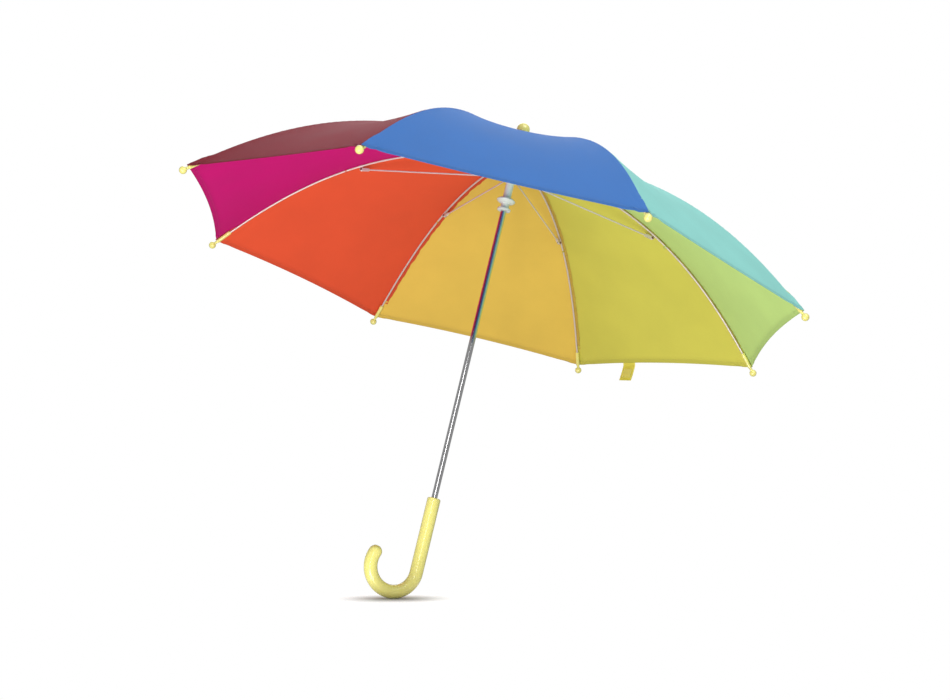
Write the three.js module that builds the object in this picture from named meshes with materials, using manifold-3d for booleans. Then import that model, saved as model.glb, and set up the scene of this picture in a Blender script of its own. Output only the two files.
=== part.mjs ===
// A children's stick umbrella, open: chrome shaft, eight steel ribs and stretchers, a canopy of eight
// coloured panels, a runner held up by a spring catch, and a plastic hook handle.
//
// Millimetres, +Z up the shaft, +X the way the hook turns, the origin on the shaft's axis, 3.9 below the handle's rim.

import * as THREE from 'three';
import { mergeVertices } from 'three/addons/utils/BufferGeometryUtils.js';
import Module from 'manifold-3d';

const wasm = await Module();
wasm.setup();

// ---- Canopy frame ----

const RIB_COUNT = 8;
const CANOPY_RADIUS = 440; // shaft axis to the centre of a tip ball
const TIP_HEIGHT = 315; // tip balls above the origin
const CANOPY_RISE = 177.4; // rib pivots above the tip balls
const RIB_PIVOT_RADIUS = 8; // shaft axis to a rib's pivot in the crown
const RIB_START_SLOPE = 3.35; // degrees above level where a rib leaves the crown
const RIB_END_SLOPE = 44.3; // degrees below level at its tip
const RIB_START_PULL = 214.8; // length of the first handle of the rib's cubic curve
const RIB_END_PULL = 122.8; // length of the second
const RIB_NECK = 7.4; // straight length from the rib's pivot to the start of its curve
const RIB_WIRE_RADIUS = 1.5;
const RIVET_PLACE = 0.404; // where the stretcher joins, as a part of the rib curve's parameter
const LUG_DROP = 5.3; // rivet below the rib's centre line
const RUNNER_DROP = 27.4; // runner pivots below the rib pivots
const RUNNER_PIVOT_RADIUS = 8.5;
const STRETCHER_WIRE_RADIUS = 1.3;

// ---- Pivots ----

const CLEARANCE = 0.3; // between pieces that touch or turn in each other
const RING_WIRE_RADIUS = 0.6; // wire that strings the eyes together
const EYE_RADIUS = 2.2;
const EYE_THICKNESS = 1.6;
const LUG_RADIUS = 2.5;
const LUG_THICKNESS = 1.4;
const CHEEK_THICKNESS = 0.8; // each side of the stretcher's fork
const FORK_LENGTH = 12;
const FORK_THROAT = 8.5; // depth of the fork's slot behind the rivet
const RIVET_RADIUS = 0.95;
const RIVET_HEAD_RADIUS = 1.8;
const RIVET_HEAD_THICKNESS = 0.8;

// ---- Tip caps ----

const BALL_RADIUS = 5.1;
const BALL_NECK_RADIUS = 1.9;
const SLEEVE_START = 9; // ball centre to the sleeve
const SLEEVE_LENGTH = 24;
const SLEEVE_RADIUS = 2.8;
const SLEEVE_FLOOR = 11.2; // ball centre to the bottom of the sleeve's bore

// ---- Cloth ----

const CLOTH_THICKNESS = 1.2;
const CLOTH_CLEARANCE = 0.9; // cloth above the tip sleeves
const CLOTH_HOLE_RADIUS = 9.5; // hole in the middle, round the shaft
const HEM_CORNER = 0.9774; // rib curve parameter where the hem meets a rib
const HEM_SCALLOP = 0.021; // how far the hem draws back between two ribs, in the same parameter
const HEM_SAG = 2.7; // how far the cloth sinks between two ribs at the hem
const MIDDLE_SAG = 8.3; // and half way up
const STRAP_WIDTH = 24;
const STRAP_THICKNESS = 1.2;
const STRAP_DROP = 28; // length hanging below the hem
const STRAP_HOLD = 14; // length lying on the panel
const STRAP_PANEL = 3;
const STRAP_PLACE = 0.36; // across the panel, 1 at its first rib and -1 at its second
const FASTENER_WIDTH = 16;
const FASTENER_HEIGHT = 16;
const FASTENER_THICKNESS = 1;

// ---- Shaft and handle ----

const SHAFT_RADIUS = 4;
const SHAFT_WALL = 0.6;
const SHAFT_TAIL = 68; // length of shaft inside the handle
const SHAFT_HEAD = 36.6; // length of shaft above the rib pivots
const GRIP_RADIUS = 8.9;
const GRIP_RIM = 3.9; // top of the handle above the origin, which lies in the grip
const GRIP_STEM = 100.9; // from the rim to the start of the bend
const HOOK_RADIUS = 32.5; // centre line of the hook's bend
const HOOK_TURN = 202; // degrees
const RIM_ROUND = 1.4;

// ---- Crown, washer and ferrule ----

const CROWN_RADIUS = 11.2;
const CROWN_ABOVE = 1.9; // crown head above the rib pivots
const CROWN_BELOW = 3.4;
const CROWN_COLLAR_RADIUS = 6.2;
const CROWN_COLLAR = 10; // length of the collar under the head
const HUB_WALL = 1.2; // crown wall between the bore and the slots
const WASHER_RADIUS = 11.4;
const WASHER_THICKNESS = 1.4;
const FERRULE_BALL_RADIUS = 9.1;
const FERRULE_BALL_HEIGHT = 44.7; // ball centre above the rib pivots
const FERRULE_BASE_RADIUS = 10;
const FERRULE_WAIST_RADIUS = 5.8;

// ---- Runner and catches ----

const RUNNER_TUBE_RADIUS = 6.15;
const RUNNER_HEAD_RADIUS = 11.2;
const RUNNER_HEAD_BELOW = 7; // head below the runner's pivots
const RUNNER_HEAD_ABOVE = 4.4;
const RUNNER_SLOT_BELOW = 3.4;
const DISC_RADIUS = 12.7;
const DISC_THICKNESS = 2.6;
const DISC_DROP = 35.7; // disc's middle below the runner's pivots
const FLANGE_RADIUS = 9.3;
const FLANGE_THICKNESS = 3;
const FLANGE_DROP = 48.8;
const WINDOW_TOP = 12; // window's ends below the runner's pivots
const WINDOW_BOTTOM = 30;
const CATCH_THICKNESS = 1.6;
const CATCH_REACH = 7.3; // shaft axis to the catch's nose
const CATCH_BACK = 2; // thickness of the strip inside the tube
const CATCH_LAP = 8; // strip beyond each end of the nose
const RUNNER_TRAVEL = 410.35; // how far the runner slides down to close

// ---- Worked out from the sizes above ----

const crownHeight = TIP_HEIGHT + CANOPY_RISE;
const runnerHeight = crownHeight - RUNNER_DROP;
const boreRadius = SHAFT_RADIUS + CLEARANCE;
const slotWidth = EYE_THICKNESS + 2.6 * CLEARANCE;
const eyeHole = RING_WIRE_RADIUS + CLEARANCE;
const clothLift = SLEEVE_RADIUS + CLOTH_CLEARANCE + CLOTH_THICKNESS / 2;
const panelAngle = (2 * Math.PI) / RIB_COUNT;
const ROUND = 24; // sides of the larger turned pieces
const FINE = 10; // sides of the small ones

// ---- Solids ----

/** Makes a closed three.js geometry into a solid that can be joined and cut. */
function solid(geometry) {
  const bare = geometry.clone();
  bare.deleteAttribute('normal');
  bare.deleteAttribute('uv');
  const welded = mergeVertices(bare, 1e-4);
  return new wasm.Manifold(new wasm.Mesh({
    numProp: 3,
    vertProperties: welded.attributes.position.array,
    triVerts: new Uint32Array(welded.index.array),
  }));
}

/** Gives a solid back as a three.js geometry with flat faces. */
function geometryOf(made) {
  const { vertProperties, triVerts } = made.getMesh();
  const indexed = new THREE.BufferGeometry();
  indexed.setAttribute('position', new THREE.BufferAttribute(new Float32Array(vertProperties), 3));
  indexed.setIndex(new THREE.BufferAttribute(new Uint32Array(triVerts), 1));
  const flat = indexed.toNonIndexed();
  flat.computeVertexNormals();
  return flat;
}

/** Joins several solids into one. */
function join(...solids) {
  return solids.reduce((whole, next) => whole.add(next));
}

/** A rectangular block between two corners. */
function block([x0, y0, z0], [x1, y1, z1]) {
  const box = new THREE.BoxGeometry(x1 - x0, y1 - y0, z1 - z0);
  return solid(box.translate((x0 + x1) / 2, (y0 + y1) / 2, (z0 + z1) / 2));
}

/** A cylinder lying across a rib's plane, along Y, centred at (x, 0, z). */
function crossPin(radius, length, [x, z], sides = FINE) {
  return solid(new THREE.CylinderGeometry(radius, radius, length, sides).translate(x, 0, z));
}

/** A turned piece about the Z axis. Its profile is a list of [radius, height], going up the outside. */
function turned(profile, sides = ROUND) {
  const points = profile.map(([radius, height]) => new THREE.Vector2(radius, height));
  return solid(new THREE.LatheGeometry(points, sides).rotateX(Math.PI / 2));
}

/** A tube or ring about the Z axis, between two radii and two heights. */
function ring(inner, outer, bottom, top, sides = ROUND) {
  return turned([[inner, bottom], [outer, bottom], [outer, top], [inner, top], [inner, bottom]], sides);
}

/** Points of an arc in a profile, from one angle to another in degrees, centred on the axis. */
function profileArc(radius, height, from, to, steps) {
  return Array.from({ length: steps + 1 }, (_, i) => {
    const angle = THREE.MathUtils.degToRad(from + ((to - from) * i) / steps);
    return [radius * Math.cos(angle), height + radius * Math.sin(angle)];
  });
}

/** A round bar of the given number of sides along a curve. */
function bar(curve, radius, sides, steps) {
  const section = new THREE.Shape(Array.from({ length: sides }, (_, i) => {
    const angle = (i * 2 * Math.PI) / sides;
    return new THREE.Vector2(radius * Math.cos(angle), radius * Math.sin(angle));
  }));
  return solid(new THREE.ExtrudeGeometry(section, { extrudePath: curve, steps }));
}

/** A flat plate in the XZ plane with its middle at Y = 0, from an outline of [x, z]. */
function plate(outline, thickness) {
  const shape = new THREE.Shape(outline.map(([x, z]) => new THREE.Vector2(x, z)));
  const flat = new THREE.ExtrudeGeometry(shape, { depth: thickness, bevelEnabled: false });
  return solid(flat.translate(0, 0, -thickness / 2).rotateX(Math.PI / 2));
}

/** A plate with parallel sides from one [x, z] point to another. */
function link([x0, z0], [x1, z1], height, thickness) {
  const half = height / 2 / Math.hypot(x1 - x0, z1 - z0);
  const [nx, nz] = [-(z1 - z0) * half, (x1 - x0) * half];
  return plate([[x0 - nx, z0 - nz], [x1 - nx, z1 - nz], [x1 + nx, z1 + nz], [x0 + nx, z0 + nz]], thickness);
}

// ---- The group and its pieces ----

const umbrella = new THREE.Group();
umbrella.name = 'childrens_umbrella';

/** Adds one named piece, turned about the shaft by a number of degrees. */
function add(name, made, color, roughness, metalness, azimuth = 0) {
  const material = new THREE.MeshStandardMaterial({ color, roughness, metalness });
  const mesh = new THREE.Mesh(geometryOf(made), material);
  mesh.name = name;
  mesh.rotation.z = THREE.MathUtils.degToRad(azimuth);
  umbrella.add(mesh);
}

const CHROME = ['#b9bcc0', 0.18, 1];
const STEEL = ['#e2dcd8', 0.4, 0.3];
const WIRE = ['#a9abad', 0.35, 1];
const YELLOW = ['#e5df83', 0.35, 0];
const CLEAR_WHITE = ['#ced0c8', 0.4, 0];
const PANEL_COLORS = [
  '#c82572', '#d9523a', '#d4b34c', '#c9bf50', '#b7d279', '#98d1b8', '#4178bd', '#813a42',
];
const RIB_LETTERS = 'abcdefgh';

// ---- Rib curve, in the plane of a rib: [radius, height] ----

/** The direction of a slope in degrees above level. */
function slope(degrees) {
  const angle = THREE.MathUtils.degToRad(degrees);
  return new THREE.Vector2(Math.cos(angle), Math.sin(angle));
}

const ribPivot = new THREE.Vector2(RIB_PIVOT_RADIUS, crownHeight);
const ribTip = new THREE.Vector2(CANOPY_RADIUS, TIP_HEIGHT);
const ribStart = ribPivot.clone().addScaledVector(slope(RIB_START_SLOPE), RIB_NECK);
const ribCurve = new THREE.CubicBezierCurve(
  ribStart,
  ribStart.clone().addScaledVector(slope(RIB_START_SLOPE), RIB_START_PULL),
  ribTip.clone().addScaledVector(slope(-RIB_END_SLOPE), -RIB_END_PULL),
  ribTip,
);

/** A point of the rib's centre line. Below 0 the line runs straight on towards the pivot. */
function ribPoint(t) {
  if (t >= 0) return ribCurve.getPoint(t);
  return ribStart.clone().addScaledVector(slope(RIB_START_SLOPE), 3 * RIB_START_PULL * t);
}

/** The rib's direction at a point of its centre line, outwards. */
function ribDirection(t) {
  return t > 0 ? ribCurve.getTangent(Math.min(t, 1)) : slope(RIB_START_SLOPE);
}

/** The place on the straight root of the rib at a given radius. */
function rootPlace(radius) {
  return (radius - ribStart.x) / (3 * RIB_START_PULL * slope(RIB_START_SLOPE).x);
}

/** Part of a rib's centre line as a curve in space, for its wire. */
class RibStretch extends THREE.Curve {
  constructor(from, to) {
    super();
    this.from = from;
    this.to = to;
  }

  getPoint(t, target = new THREE.Vector3()) {
    const { x, y } = ribPoint(this.from + (this.to - this.from) * t);
    return target.set(x, 0, y);
  }
}

// ---- Shaft ----

const catchNose = { top: runnerHeight - WINDOW_TOP - 2, bottom: runnerHeight - WINDOW_BOTTOM + 1 };
const catchWindow = { low: catchNose.bottom - 1, high: catchNose.top + 1 };
const lowCatchMiddle = (catchNose.top + catchNose.bottom) / 2 - RUNNER_TRAVEL;

/** The cut that lets a catch through the shaft's wall, on its -Y side. */
function shaftSlot(middle) {
  const half = (catchWindow.high - catchWindow.low) / 2;
  const side = CATCH_THICKNESS / 2 + CLEARANCE;
  return block([-side, -SHAFT_RADIUS - 1, middle - half], [side, -2, middle + half]);
}

const shaftTop = crownHeight + SHAFT_HEAD;
const shaft = ring(SHAFT_RADIUS - SHAFT_WALL, SHAFT_RADIUS, -SHAFT_TAIL, shaftTop)
  .subtract(shaftSlot((catchWindow.low + catchWindow.high) / 2))
  .subtract(shaftSlot(lowCatchMiddle));
add('shaft', shaft, ...CHROME);

// ---- Hook handle: a straight stem, a bend and a rounded end, bored for the shaft ----

/** The handle's centre line: down the stem, then round the hook. */
class HookLine extends THREE.Curve {
  getPoint(t, target = new THREE.Vector3()) {
    const bend = HOOK_RADIUS * THREE.MathUtils.degToRad(HOOK_TURN);
    const stem = GRIP_STEM - RIM_ROUND;
    const along = t * (stem + bend);
    if (along <= stem) return target.set(0, 0, GRIP_RIM - RIM_ROUND - along);
    const angle = Math.PI + (along - stem) / HOOK_RADIUS;
    return target.set(
      HOOK_RADIUS * (1 + Math.cos(angle)),
      0,
      GRIP_RIM - GRIP_STEM + HOOK_RADIUS * Math.sin(angle),
    );
  }
}

const hookLine = new HookLine();
const hookEnd = hookLine.getPoint(1);
const endBall = new THREE.SphereGeometry(GRIP_RADIUS, 16, 8)
  .rotateY(-THREE.MathUtils.degToRad(HOOK_TURN))
  .translate(hookEnd.x, 0, hookEnd.z);
const rim = turned([
  [0, GRIP_RIM - RIM_ROUND - 2],
  [GRIP_RADIUS - 0.05, GRIP_RIM - RIM_ROUND - 2],
  [GRIP_RADIUS - 0.05, GRIP_RIM - RIM_ROUND],
  [GRIP_RADIUS - 0.4 * RIM_ROUND, GRIP_RIM - 0.3 * RIM_ROUND],
  [GRIP_RADIUS - RIM_ROUND, GRIP_RIM],
  [0, GRIP_RIM],
]);
const gripBore = turned([
  [0, -SHAFT_TAIL - CLEARANCE],
  [boreRadius, -SHAFT_TAIL - CLEARANCE],
  [boreRadius, GRIP_RIM + 5],
  [0, GRIP_RIM + 5],
]);
add('handle', join(bar(hookLine, GRIP_RADIUS, 16, 26), solid(endBall), rim).subtract(gripBore), ...YELLOW);

// ---- Crown: a notched head on a collar, the wire lying in a groove across the notches ----

/** Radial notches, one for each rib, cut from a radius outwards between two heights. */
function notches(inner, bottom, top) {
  return join(...Array.from({ length: RIB_COUNT }, (_, i) =>
    block([inner, -slotWidth / 2, bottom], [20, slotWidth / 2, top])
      .rotate([0, 0, (i * 360) / RIB_COUNT])));
}

/** The ring wire through the eyes, at a pivot radius and height. */
function ringWire(radius, height) {
  return solid(new THREE.TorusGeometry(radius, RING_WIRE_RADIUS, 5, 24).translate(0, 0, height));
}

/** The groove that a ring wire is laid in, open at the top. */
function wireGroove(radius, height, top) {
  const half = RING_WIRE_RADIUS + CLEARANCE;
  return ring(radius - half, radius + half, height - half, top, 32);
}

const crownHead = ring(boreRadius, CROWN_RADIUS, crownHeight - CROWN_BELOW, crownHeight + CROWN_ABOVE);
const crownCollar = ring(
  boreRadius,
  CROWN_COLLAR_RADIUS,
  crownHeight - CROWN_BELOW - CROWN_COLLAR,
  crownHeight - CROWN_BELOW + 1,
);
const crown = join(
  crownHead.subtract(notches(boreRadius + HUB_WALL, crownHeight - 20, crownHeight + 20)),
  crownCollar.subtract(notches(boreRadius + HUB_WALL, crownHeight - CROWN_BELOW - 1, crownHeight + 20)),
).subtract(wireGroove(RIB_PIVOT_RADIUS, crownHeight, crownHeight + 20));
add('crown', crown, ...CLEAR_WHITE);
add('crown_wire', ringWire(RIB_PIVOT_RADIUS, crownHeight), ...WIRE);

// ---- Washer and ferrule above the cloth ----

const clothTop = ribPoint(rootPlace(WASHER_RADIUS)).y + clothLift + CLOTH_THICKNESS / 2;
const washerBottom = clothTop + CLEARANCE;
const washerTop = washerBottom + WASHER_THICKNESS;
add('canopy_washer', ring(boreRadius, WASHER_RADIUS, washerBottom, washerTop), ...YELLOW);

const ferruleBottom = washerTop + CLEARANCE;
const ballHeight = crownHeight + FERRULE_BALL_HEIGHT;
const waistAngle = -THREE.MathUtils.radToDeg(Math.acos(FERRULE_WAIST_RADIUS / FERRULE_BALL_RADIUS));
const ferrule = turned([
  [0, shaftTop + CLEARANCE],
  [boreRadius, shaftTop + CLEARANCE],
  [boreRadius, ferruleBottom],
  [FERRULE_BASE_RADIUS, ferruleBottom],
  [FERRULE_BASE_RADIUS, ferruleBottom + 1.6],
  [FERRULE_BASE_RADIUS - 1.6, ferruleBottom + 3],
  [FERRULE_WAIST_RADIUS + 0.9, ferruleBottom + 8],
  ...profileArc(FERRULE_BALL_RADIUS, ballHeight, waistAngle, 90, 9).slice(0, -1),
  [0, ballHeight + FERRULE_BALL_RADIUS],
]);
add('ferrule', ferrule, ...YELLOW);

// ---- Runner: a tube with a finger flange, a disc, a notched head and a window for the catch ----

const discHeight = runnerHeight - DISC_DROP;
const flangeHeight = runnerHeight - FLANGE_DROP;
const headBottom = runnerHeight - RUNNER_HEAD_BELOW;
const runnerTop = runnerHeight + RUNNER_HEAD_ABOVE;
const runnerProfile = [
  [boreRadius, flangeHeight - FLANGE_THICKNESS / 2],
  [FLANGE_RADIUS - 0.8, flangeHeight - FLANGE_THICKNESS / 2],
  [FLANGE_RADIUS, flangeHeight - FLANGE_THICKNESS / 2 + 0.8],
  [FLANGE_RADIUS, flangeHeight + FLANGE_THICKNESS / 2 - 0.8],
  [FLANGE_RADIUS - 0.8, flangeHeight + FLANGE_THICKNESS / 2],
  [RUNNER_TUBE_RADIUS, flangeHeight + FLANGE_THICKNESS / 2],
  [RUNNER_TUBE_RADIUS, discHeight - DISC_THICKNESS / 2],
  [DISC_RADIUS - 0.8, discHeight - DISC_THICKNESS / 2],
  [DISC_RADIUS, discHeight],
  [DISC_RADIUS - 0.8, discHeight + DISC_THICKNESS / 2],
  [RUNNER_TUBE_RADIUS, discHeight + DISC_THICKNESS / 2],
  [RUNNER_TUBE_RADIUS, headBottom - 3],
  [RUNNER_HEAD_RADIUS, headBottom],
  [RUNNER_HEAD_RADIUS, runnerTop],
  [boreRadius, runnerTop],
  [boreRadius, flangeHeight - FLANGE_THICKNESS / 2],
];
const runner = turned(runnerProfile)
  .subtract(notches(boreRadius + HUB_WALL + 0.6, runnerHeight - RUNNER_SLOT_BELOW, runnerTop + 20))
  .subtract(wireGroove(RUNNER_PIVOT_RADIUS, runnerHeight, runnerTop + 20))
  .subtract(block(
    [-CATCH_THICKNESS / 2 - CLEARANCE, -20, runnerHeight - WINDOW_BOTTOM],
    [CATCH_THICKNESS / 2 + CLEARANCE, -3, runnerHeight - WINDOW_TOP],
  ));
add('runner', runner, ...CLEAR_WHITE);
add('runner_wire', ringWire(RUNNER_PIVOT_RADIUS, runnerHeight), ...WIRE);

// ---- Spring catches: a strip inside the tube with a wedge that comes out through the slot ----

/** A catch in the YZ plane, on the -Y side; its flat shoulder faces up, or down when flipped. */
function springCatch(middle, flipped) {
  const half = (catchNose.top - catchNose.bottom) / 2;
  const back = SHAFT_RADIUS - SHAFT_WALL - 1;
  const outline = [
    [back - CATCH_BACK, -half - CATCH_LAP],
    [back, -half - CATCH_LAP],
    [back, -half],
    [CATCH_REACH, half - 3],
    [CATCH_REACH, half],
    [back, half],
    [back, half + CATCH_LAP],
    [back - CATCH_BACK, half + CATCH_LAP],
  ];
  const blade = plate(outline, CATCH_THICKNESS).rotate([0, 0, -90]);
  return (flipped ? blade.rotate([0, 180, 0]) : blade).translate([0, 0, middle]);
}

add('top_catch', springCatch((catchNose.top + catchNose.bottom) / 2, false), ...WIRE);
add('bottom_catch', springCatch(lowCatchMiddle, true), ...WIRE);

// ---- Ribs, stretchers, rivets and tip caps, made in the XZ plane and turned into place ----

const rivetPoint = ribPoint(RIVET_PLACE);
const rivetDirection = ribDirection(RIVET_PLACE);
const rivet = [
  rivetPoint.x + LUG_DROP * rivetDirection.y,
  rivetPoint.y - LUG_DROP * rivetDirection.x,
];
const wireStart = CROWN_RADIUS + 4 * CLEARANCE;
const wireEnd = 1 - (SLEEVE_FLOOR + CLEARANCE) / (3 * RIB_END_PULL);
const pivotAt = (radius, height) => crossPin(radius, 10, [RIB_PIVOT_RADIUS, height]);
const neckEnd = ribPoint(rootPlace(wireStart + 3));

const rib = join(
  bar(new RibStretch(rootPlace(wireStart), wireEnd), RIB_WIRE_RADIUS, 6, 14),
  crossPin(EYE_RADIUS, EYE_THICKNESS, [RIB_PIVOT_RADIUS, crownHeight]),
  link([RIB_PIVOT_RADIUS, crownHeight], [neckEnd.x, neckEnd.y], 2.2, EYE_THICKNESS),
  crossPin(LUG_RADIUS, LUG_THICKNESS, rivet),
  link(rivet, [rivetPoint.x, rivetPoint.y], 2 * LUG_RADIUS - 0.6, LUG_THICKNESS),
)
  .subtract(pivotAt(eyeHole, crownHeight))
  .subtract(crossPin(RIVET_RADIUS + CLEARANCE, 10, rivet));

const runnerPivot = [RUNNER_PIVOT_RADIUS, runnerHeight];
const armLength = Math.hypot(rivet[0] - runnerPivot[0], rivet[1] - runnerPivot[1]);

/** A point on the stretcher, a distance from the rivet towards the runner. */
function onStretcher(distance) {
  const part = distance / armLength;
  return [
    rivet[0] + (runnerPivot[0] - rivet[0]) * part,
    rivet[1] + (runnerPivot[1] - rivet[1]) * part,
  ];
}

const cheekInner = LUG_THICKNESS / 2 + CLEARANCE;
const cheekOuter = cheekInner + CHEEK_THICKNESS;
const forkSlot = crossPin(FORK_THROAT, 2 * cheekInner, rivet, 16);
const fork = join(
  crossPin(LUG_RADIUS - 0.1, 2 * cheekOuter, rivet),
  link(rivet, onStretcher(FORK_LENGTH), 4.4, 2 * cheekOuter),
).subtract(forkSlot);
const [wireFromX, wireFromZ] = onStretcher(FORK_THROAT + 0.8);
const [wireToX, wireToZ] = onStretcher(armLength - 5.6);
const stretcherLine = new THREE.LineCurve3(
  new THREE.Vector3(wireFromX, 0, wireFromZ),
  new THREE.Vector3(wireToX, 0, wireToZ),
);
const stretcher = join(
  bar(stretcherLine, STRETCHER_WIRE_RADIUS, 6, 1),
  fork,
  crossPin(EYE_RADIUS, EYE_THICKNESS, runnerPivot),
  link(runnerPivot, onStretcher(armLength - 8), 2.2, EYE_THICKNESS),
)
  .subtract(crossPin(RIVET_RADIUS + CLEARANCE, 10, rivet))
  .subtract(crossPin(eyeHole, 10, runnerPivot));

const headInner = cheekOuter + CLEARANCE;
const pin = join(
  crossPin(RIVET_RADIUS, 2 * headInner + RIVET_HEAD_THICKNESS, rivet),
  crossPin(RIVET_HEAD_RADIUS, 2 * (headInner + RIVET_HEAD_THICKNESS), rivet)
    .subtract(crossPin(RIVET_HEAD_RADIUS + 1, 2 * headInner, rivet)),
);

const neckSine = BALL_NECK_RADIUS / BALL_RADIUS;
const neckAngle = THREE.MathUtils.radToDeg(Math.acos(neckSine));
const tip = turned([
  ...profileArc(BALL_RADIUS, 0, -90, neckAngle, 8).map(([r, z]) => [Math.max(r, 0), z]),
  [BALL_NECK_RADIUS, SLEEVE_START],
  [SLEEVE_RADIUS, SLEEVE_START],
  [SLEEVE_RADIUS, SLEEVE_START + SLEEVE_LENGTH],
  [RIB_WIRE_RADIUS + 1.5 * CLEARANCE, SLEEVE_START + SLEEVE_LENGTH],
  [RIB_WIRE_RADIUS + 1.5 * CLEARANCE, SLEEVE_FLOOR],
  [0, SLEEVE_FLOOR],
], FINE)
  .rotate([0, RIB_END_SLOPE - 90, 0])
  .translate([CANOPY_RADIUS, 0, TIP_HEIGHT]);

// ---- Canopy panels, each in two halves that meet along the fold, made about the XZ plane ----

/** A point of the cloth on its mid surface or to one side of it, in the panel's own frame. */
function clothPoint(t, across, above) {
  const { x, y } = ribPoint(t);
  const direction = ribDirection(t);
  const along = new THREE.Vector2(direction.x * Math.cos(panelAngle / 2), direction.y).normalize();
  const reach = x / CANOPY_RADIUS;
  const sag = HEM_SAG * reach + (MIDDLE_SAG - HEM_SAG / 2) * 4 * reach * (1 - reach);
  const out = clothLift + above - sag * (1 - across * across);
  const edge = x * Math.cos(panelAngle / 2) - (clothLift + above) * along.y;
  const halfWidth = edge * Math.tan(panelAngle / 2) - CLEARANCE;
  const side = Math.sign(across) || 1;
  return new THREE.Vector3(
    x * Math.cos(panelAngle / 2) - out * along.y,
    side * (0.55 * CLEARANCE) + across * halfWidth,
    y + out * along.x,
  );
}

/** Half of a panel as a thin closed shell; side is -1 towards its first rib and 1 towards its second. */
function halfPanel(side) {
  const [rows, columns] = [10, 4];
  const inner = rootPlace(CLOTH_HOLE_RADIUS);
  const grid = (above) => Array.from({ length: rows + 1 }, (_, i) =>
    Array.from({ length: columns + 1 }, (__, j) => {
      const across = side * Math.max(j / columns, 1e-6);
      const hem = HEM_CORNER - HEM_SCALLOP * (1 - across * across);
      return clothPoint(inner + (hem - inner) * (i / rows), across, above);
    }));
  const [under, over] = [grid(-CLOTH_THICKNESS / 2), grid(CLOTH_THICKNESS / 2)];
  const corners = [];
  const quad = (a, b, c, d) => corners.push(a, b, c, a, c, d);
  for (let i = 0; i < rows; i += 1) {
    for (let j = 0; j < columns; j += 1) {
      quad(over[i][j], over[i + 1][j], over[i + 1][j + 1], over[i][j + 1]);
      quad(under[i][j], under[i][j + 1], under[i + 1][j + 1], under[i + 1][j]);
    }
    quad(under[i][0], under[i + 1][0], over[i + 1][0], over[i][0]);
    quad(over[i][columns], over[i + 1][columns], under[i + 1][columns], under[i][columns]);
  }
  for (let j = 0; j < columns; j += 1) {
    quad(over[0][j], over[0][j + 1], under[0][j + 1], under[0][j]);
    quad(under[rows][j], under[rows][j + 1], over[rows][j + 1], over[rows][j]);
  }
  if (side < 0) corners.reverse();
  return solid(new THREE.BufferGeometry().setFromPoints(corners));
}

const firstHalf = halfPanel(1);
const secondHalf = halfPanel(-1);

// Rib a lies along +X and the others follow clockwise, seen from above.
for (let k = 0; k < RIB_COUNT; k += 1) {
  const letter = RIB_LETTERS[k];
  const next = RIB_LETTERS[(k + 1) % RIB_COUNT];
  const azimuth = (-k * 360) / RIB_COUNT;
  const middle = azimuth - 180 / RIB_COUNT;
  add(`rib_${letter}`, rib, ...STEEL, azimuth);
  add(`stretcher_${letter}`, stretcher, ...STEEL, azimuth);
  add(`rivet_${letter}`, pin, '#7d4a48', 0.4, 0.6, azimuth);
  add(`tip_${letter}`, tip, ...YELLOW, azimuth);
  add(`panel_${letter}${next}_${letter}_half`, firstHalf, PANEL_COLORS[k], 0.75, 0, middle);
  add(`panel_${letter}${next}_${next}_half`, secondHalf, PANEL_COLORS[k], 0.75, 0, middle);
}

// ---- Closing strap: held on the panel just above the hem, then hanging straight down ----

const hemAtStrap = HEM_CORNER - HEM_SCALLOP * (1 - STRAP_PLACE * STRAP_PLACE);
const strapAbove = CLOTH_THICKNESS / 2 + 1.5 * CLEARANCE;
const strapLine = (t, above) => {
  const { x, z } = clothPoint(t, STRAP_PLACE, above);
  return new THREE.Vector2(x, z);
};
const hemPoint = strapLine(hemAtStrap, strapAbove);
const strapDirection = strapLine(hemAtStrap - 0.01, strapAbove).sub(hemPoint).normalize();
const strapNormal = new THREE.Vector2(strapDirection.y, -strapDirection.x);
const strapStart = hemPoint.clone().addScaledVector(strapDirection, STRAP_HOLD);
const strapBend = hemPoint.clone().addScaledVector(strapDirection, -2);
const strapEnd = strapBend.y - STRAP_DROP;
const outerStart = strapStart.clone().addScaledVector(strapNormal, STRAP_THICKNESS);
const outerBend = strapBend.clone().addScaledVector(strapNormal, STRAP_THICKNESS);
const strapY = clothPoint(hemAtStrap, STRAP_PLACE, 0).y;
const strapMiddle = -(STRAP_PANEL * 360) / RIB_COUNT - 180 / RIB_COUNT;
const strap = plate([
  [strapStart.x, strapStart.y],
  [outerStart.x, outerStart.y],
  [outerBend.x, outerBend.y],
  [strapBend.x + STRAP_THICKNESS, strapBend.y - 1],
  [strapBend.x + STRAP_THICKNESS, strapEnd],
  [strapBend.x, strapEnd],
  [strapBend.x, strapBend.y],
], STRAP_WIDTH);
add('tie_strap', strap.translate([0, strapY, 0]), '#d8cd5b', 0.8, 0, strapMiddle);

const fastenerY = strapY - FASTENER_WIDTH / 2;
const fastener = block(
  [strapBend.x - CLEARANCE - FASTENER_THICKNESS, fastenerY, strapEnd + 2],
  [strapBend.x - CLEARANCE, fastenerY + FASTENER_WIDTH, strapEnd + 2 + FASTENER_HEIGHT],
);
add('strap_fastener', fastener, '#d8cd5b', 0.9, 0, strapMiddle);

export default umbrella;
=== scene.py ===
"""A children's stick umbrella: the visible pieces, their finishes, a floor, lights and a camera."""

import logging
from dataclasses import dataclass, field
from enum import Enum
from typing import Any

import bmesh
import bpy
import numpy as np
from mathutils import Matrix, Vector


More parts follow.
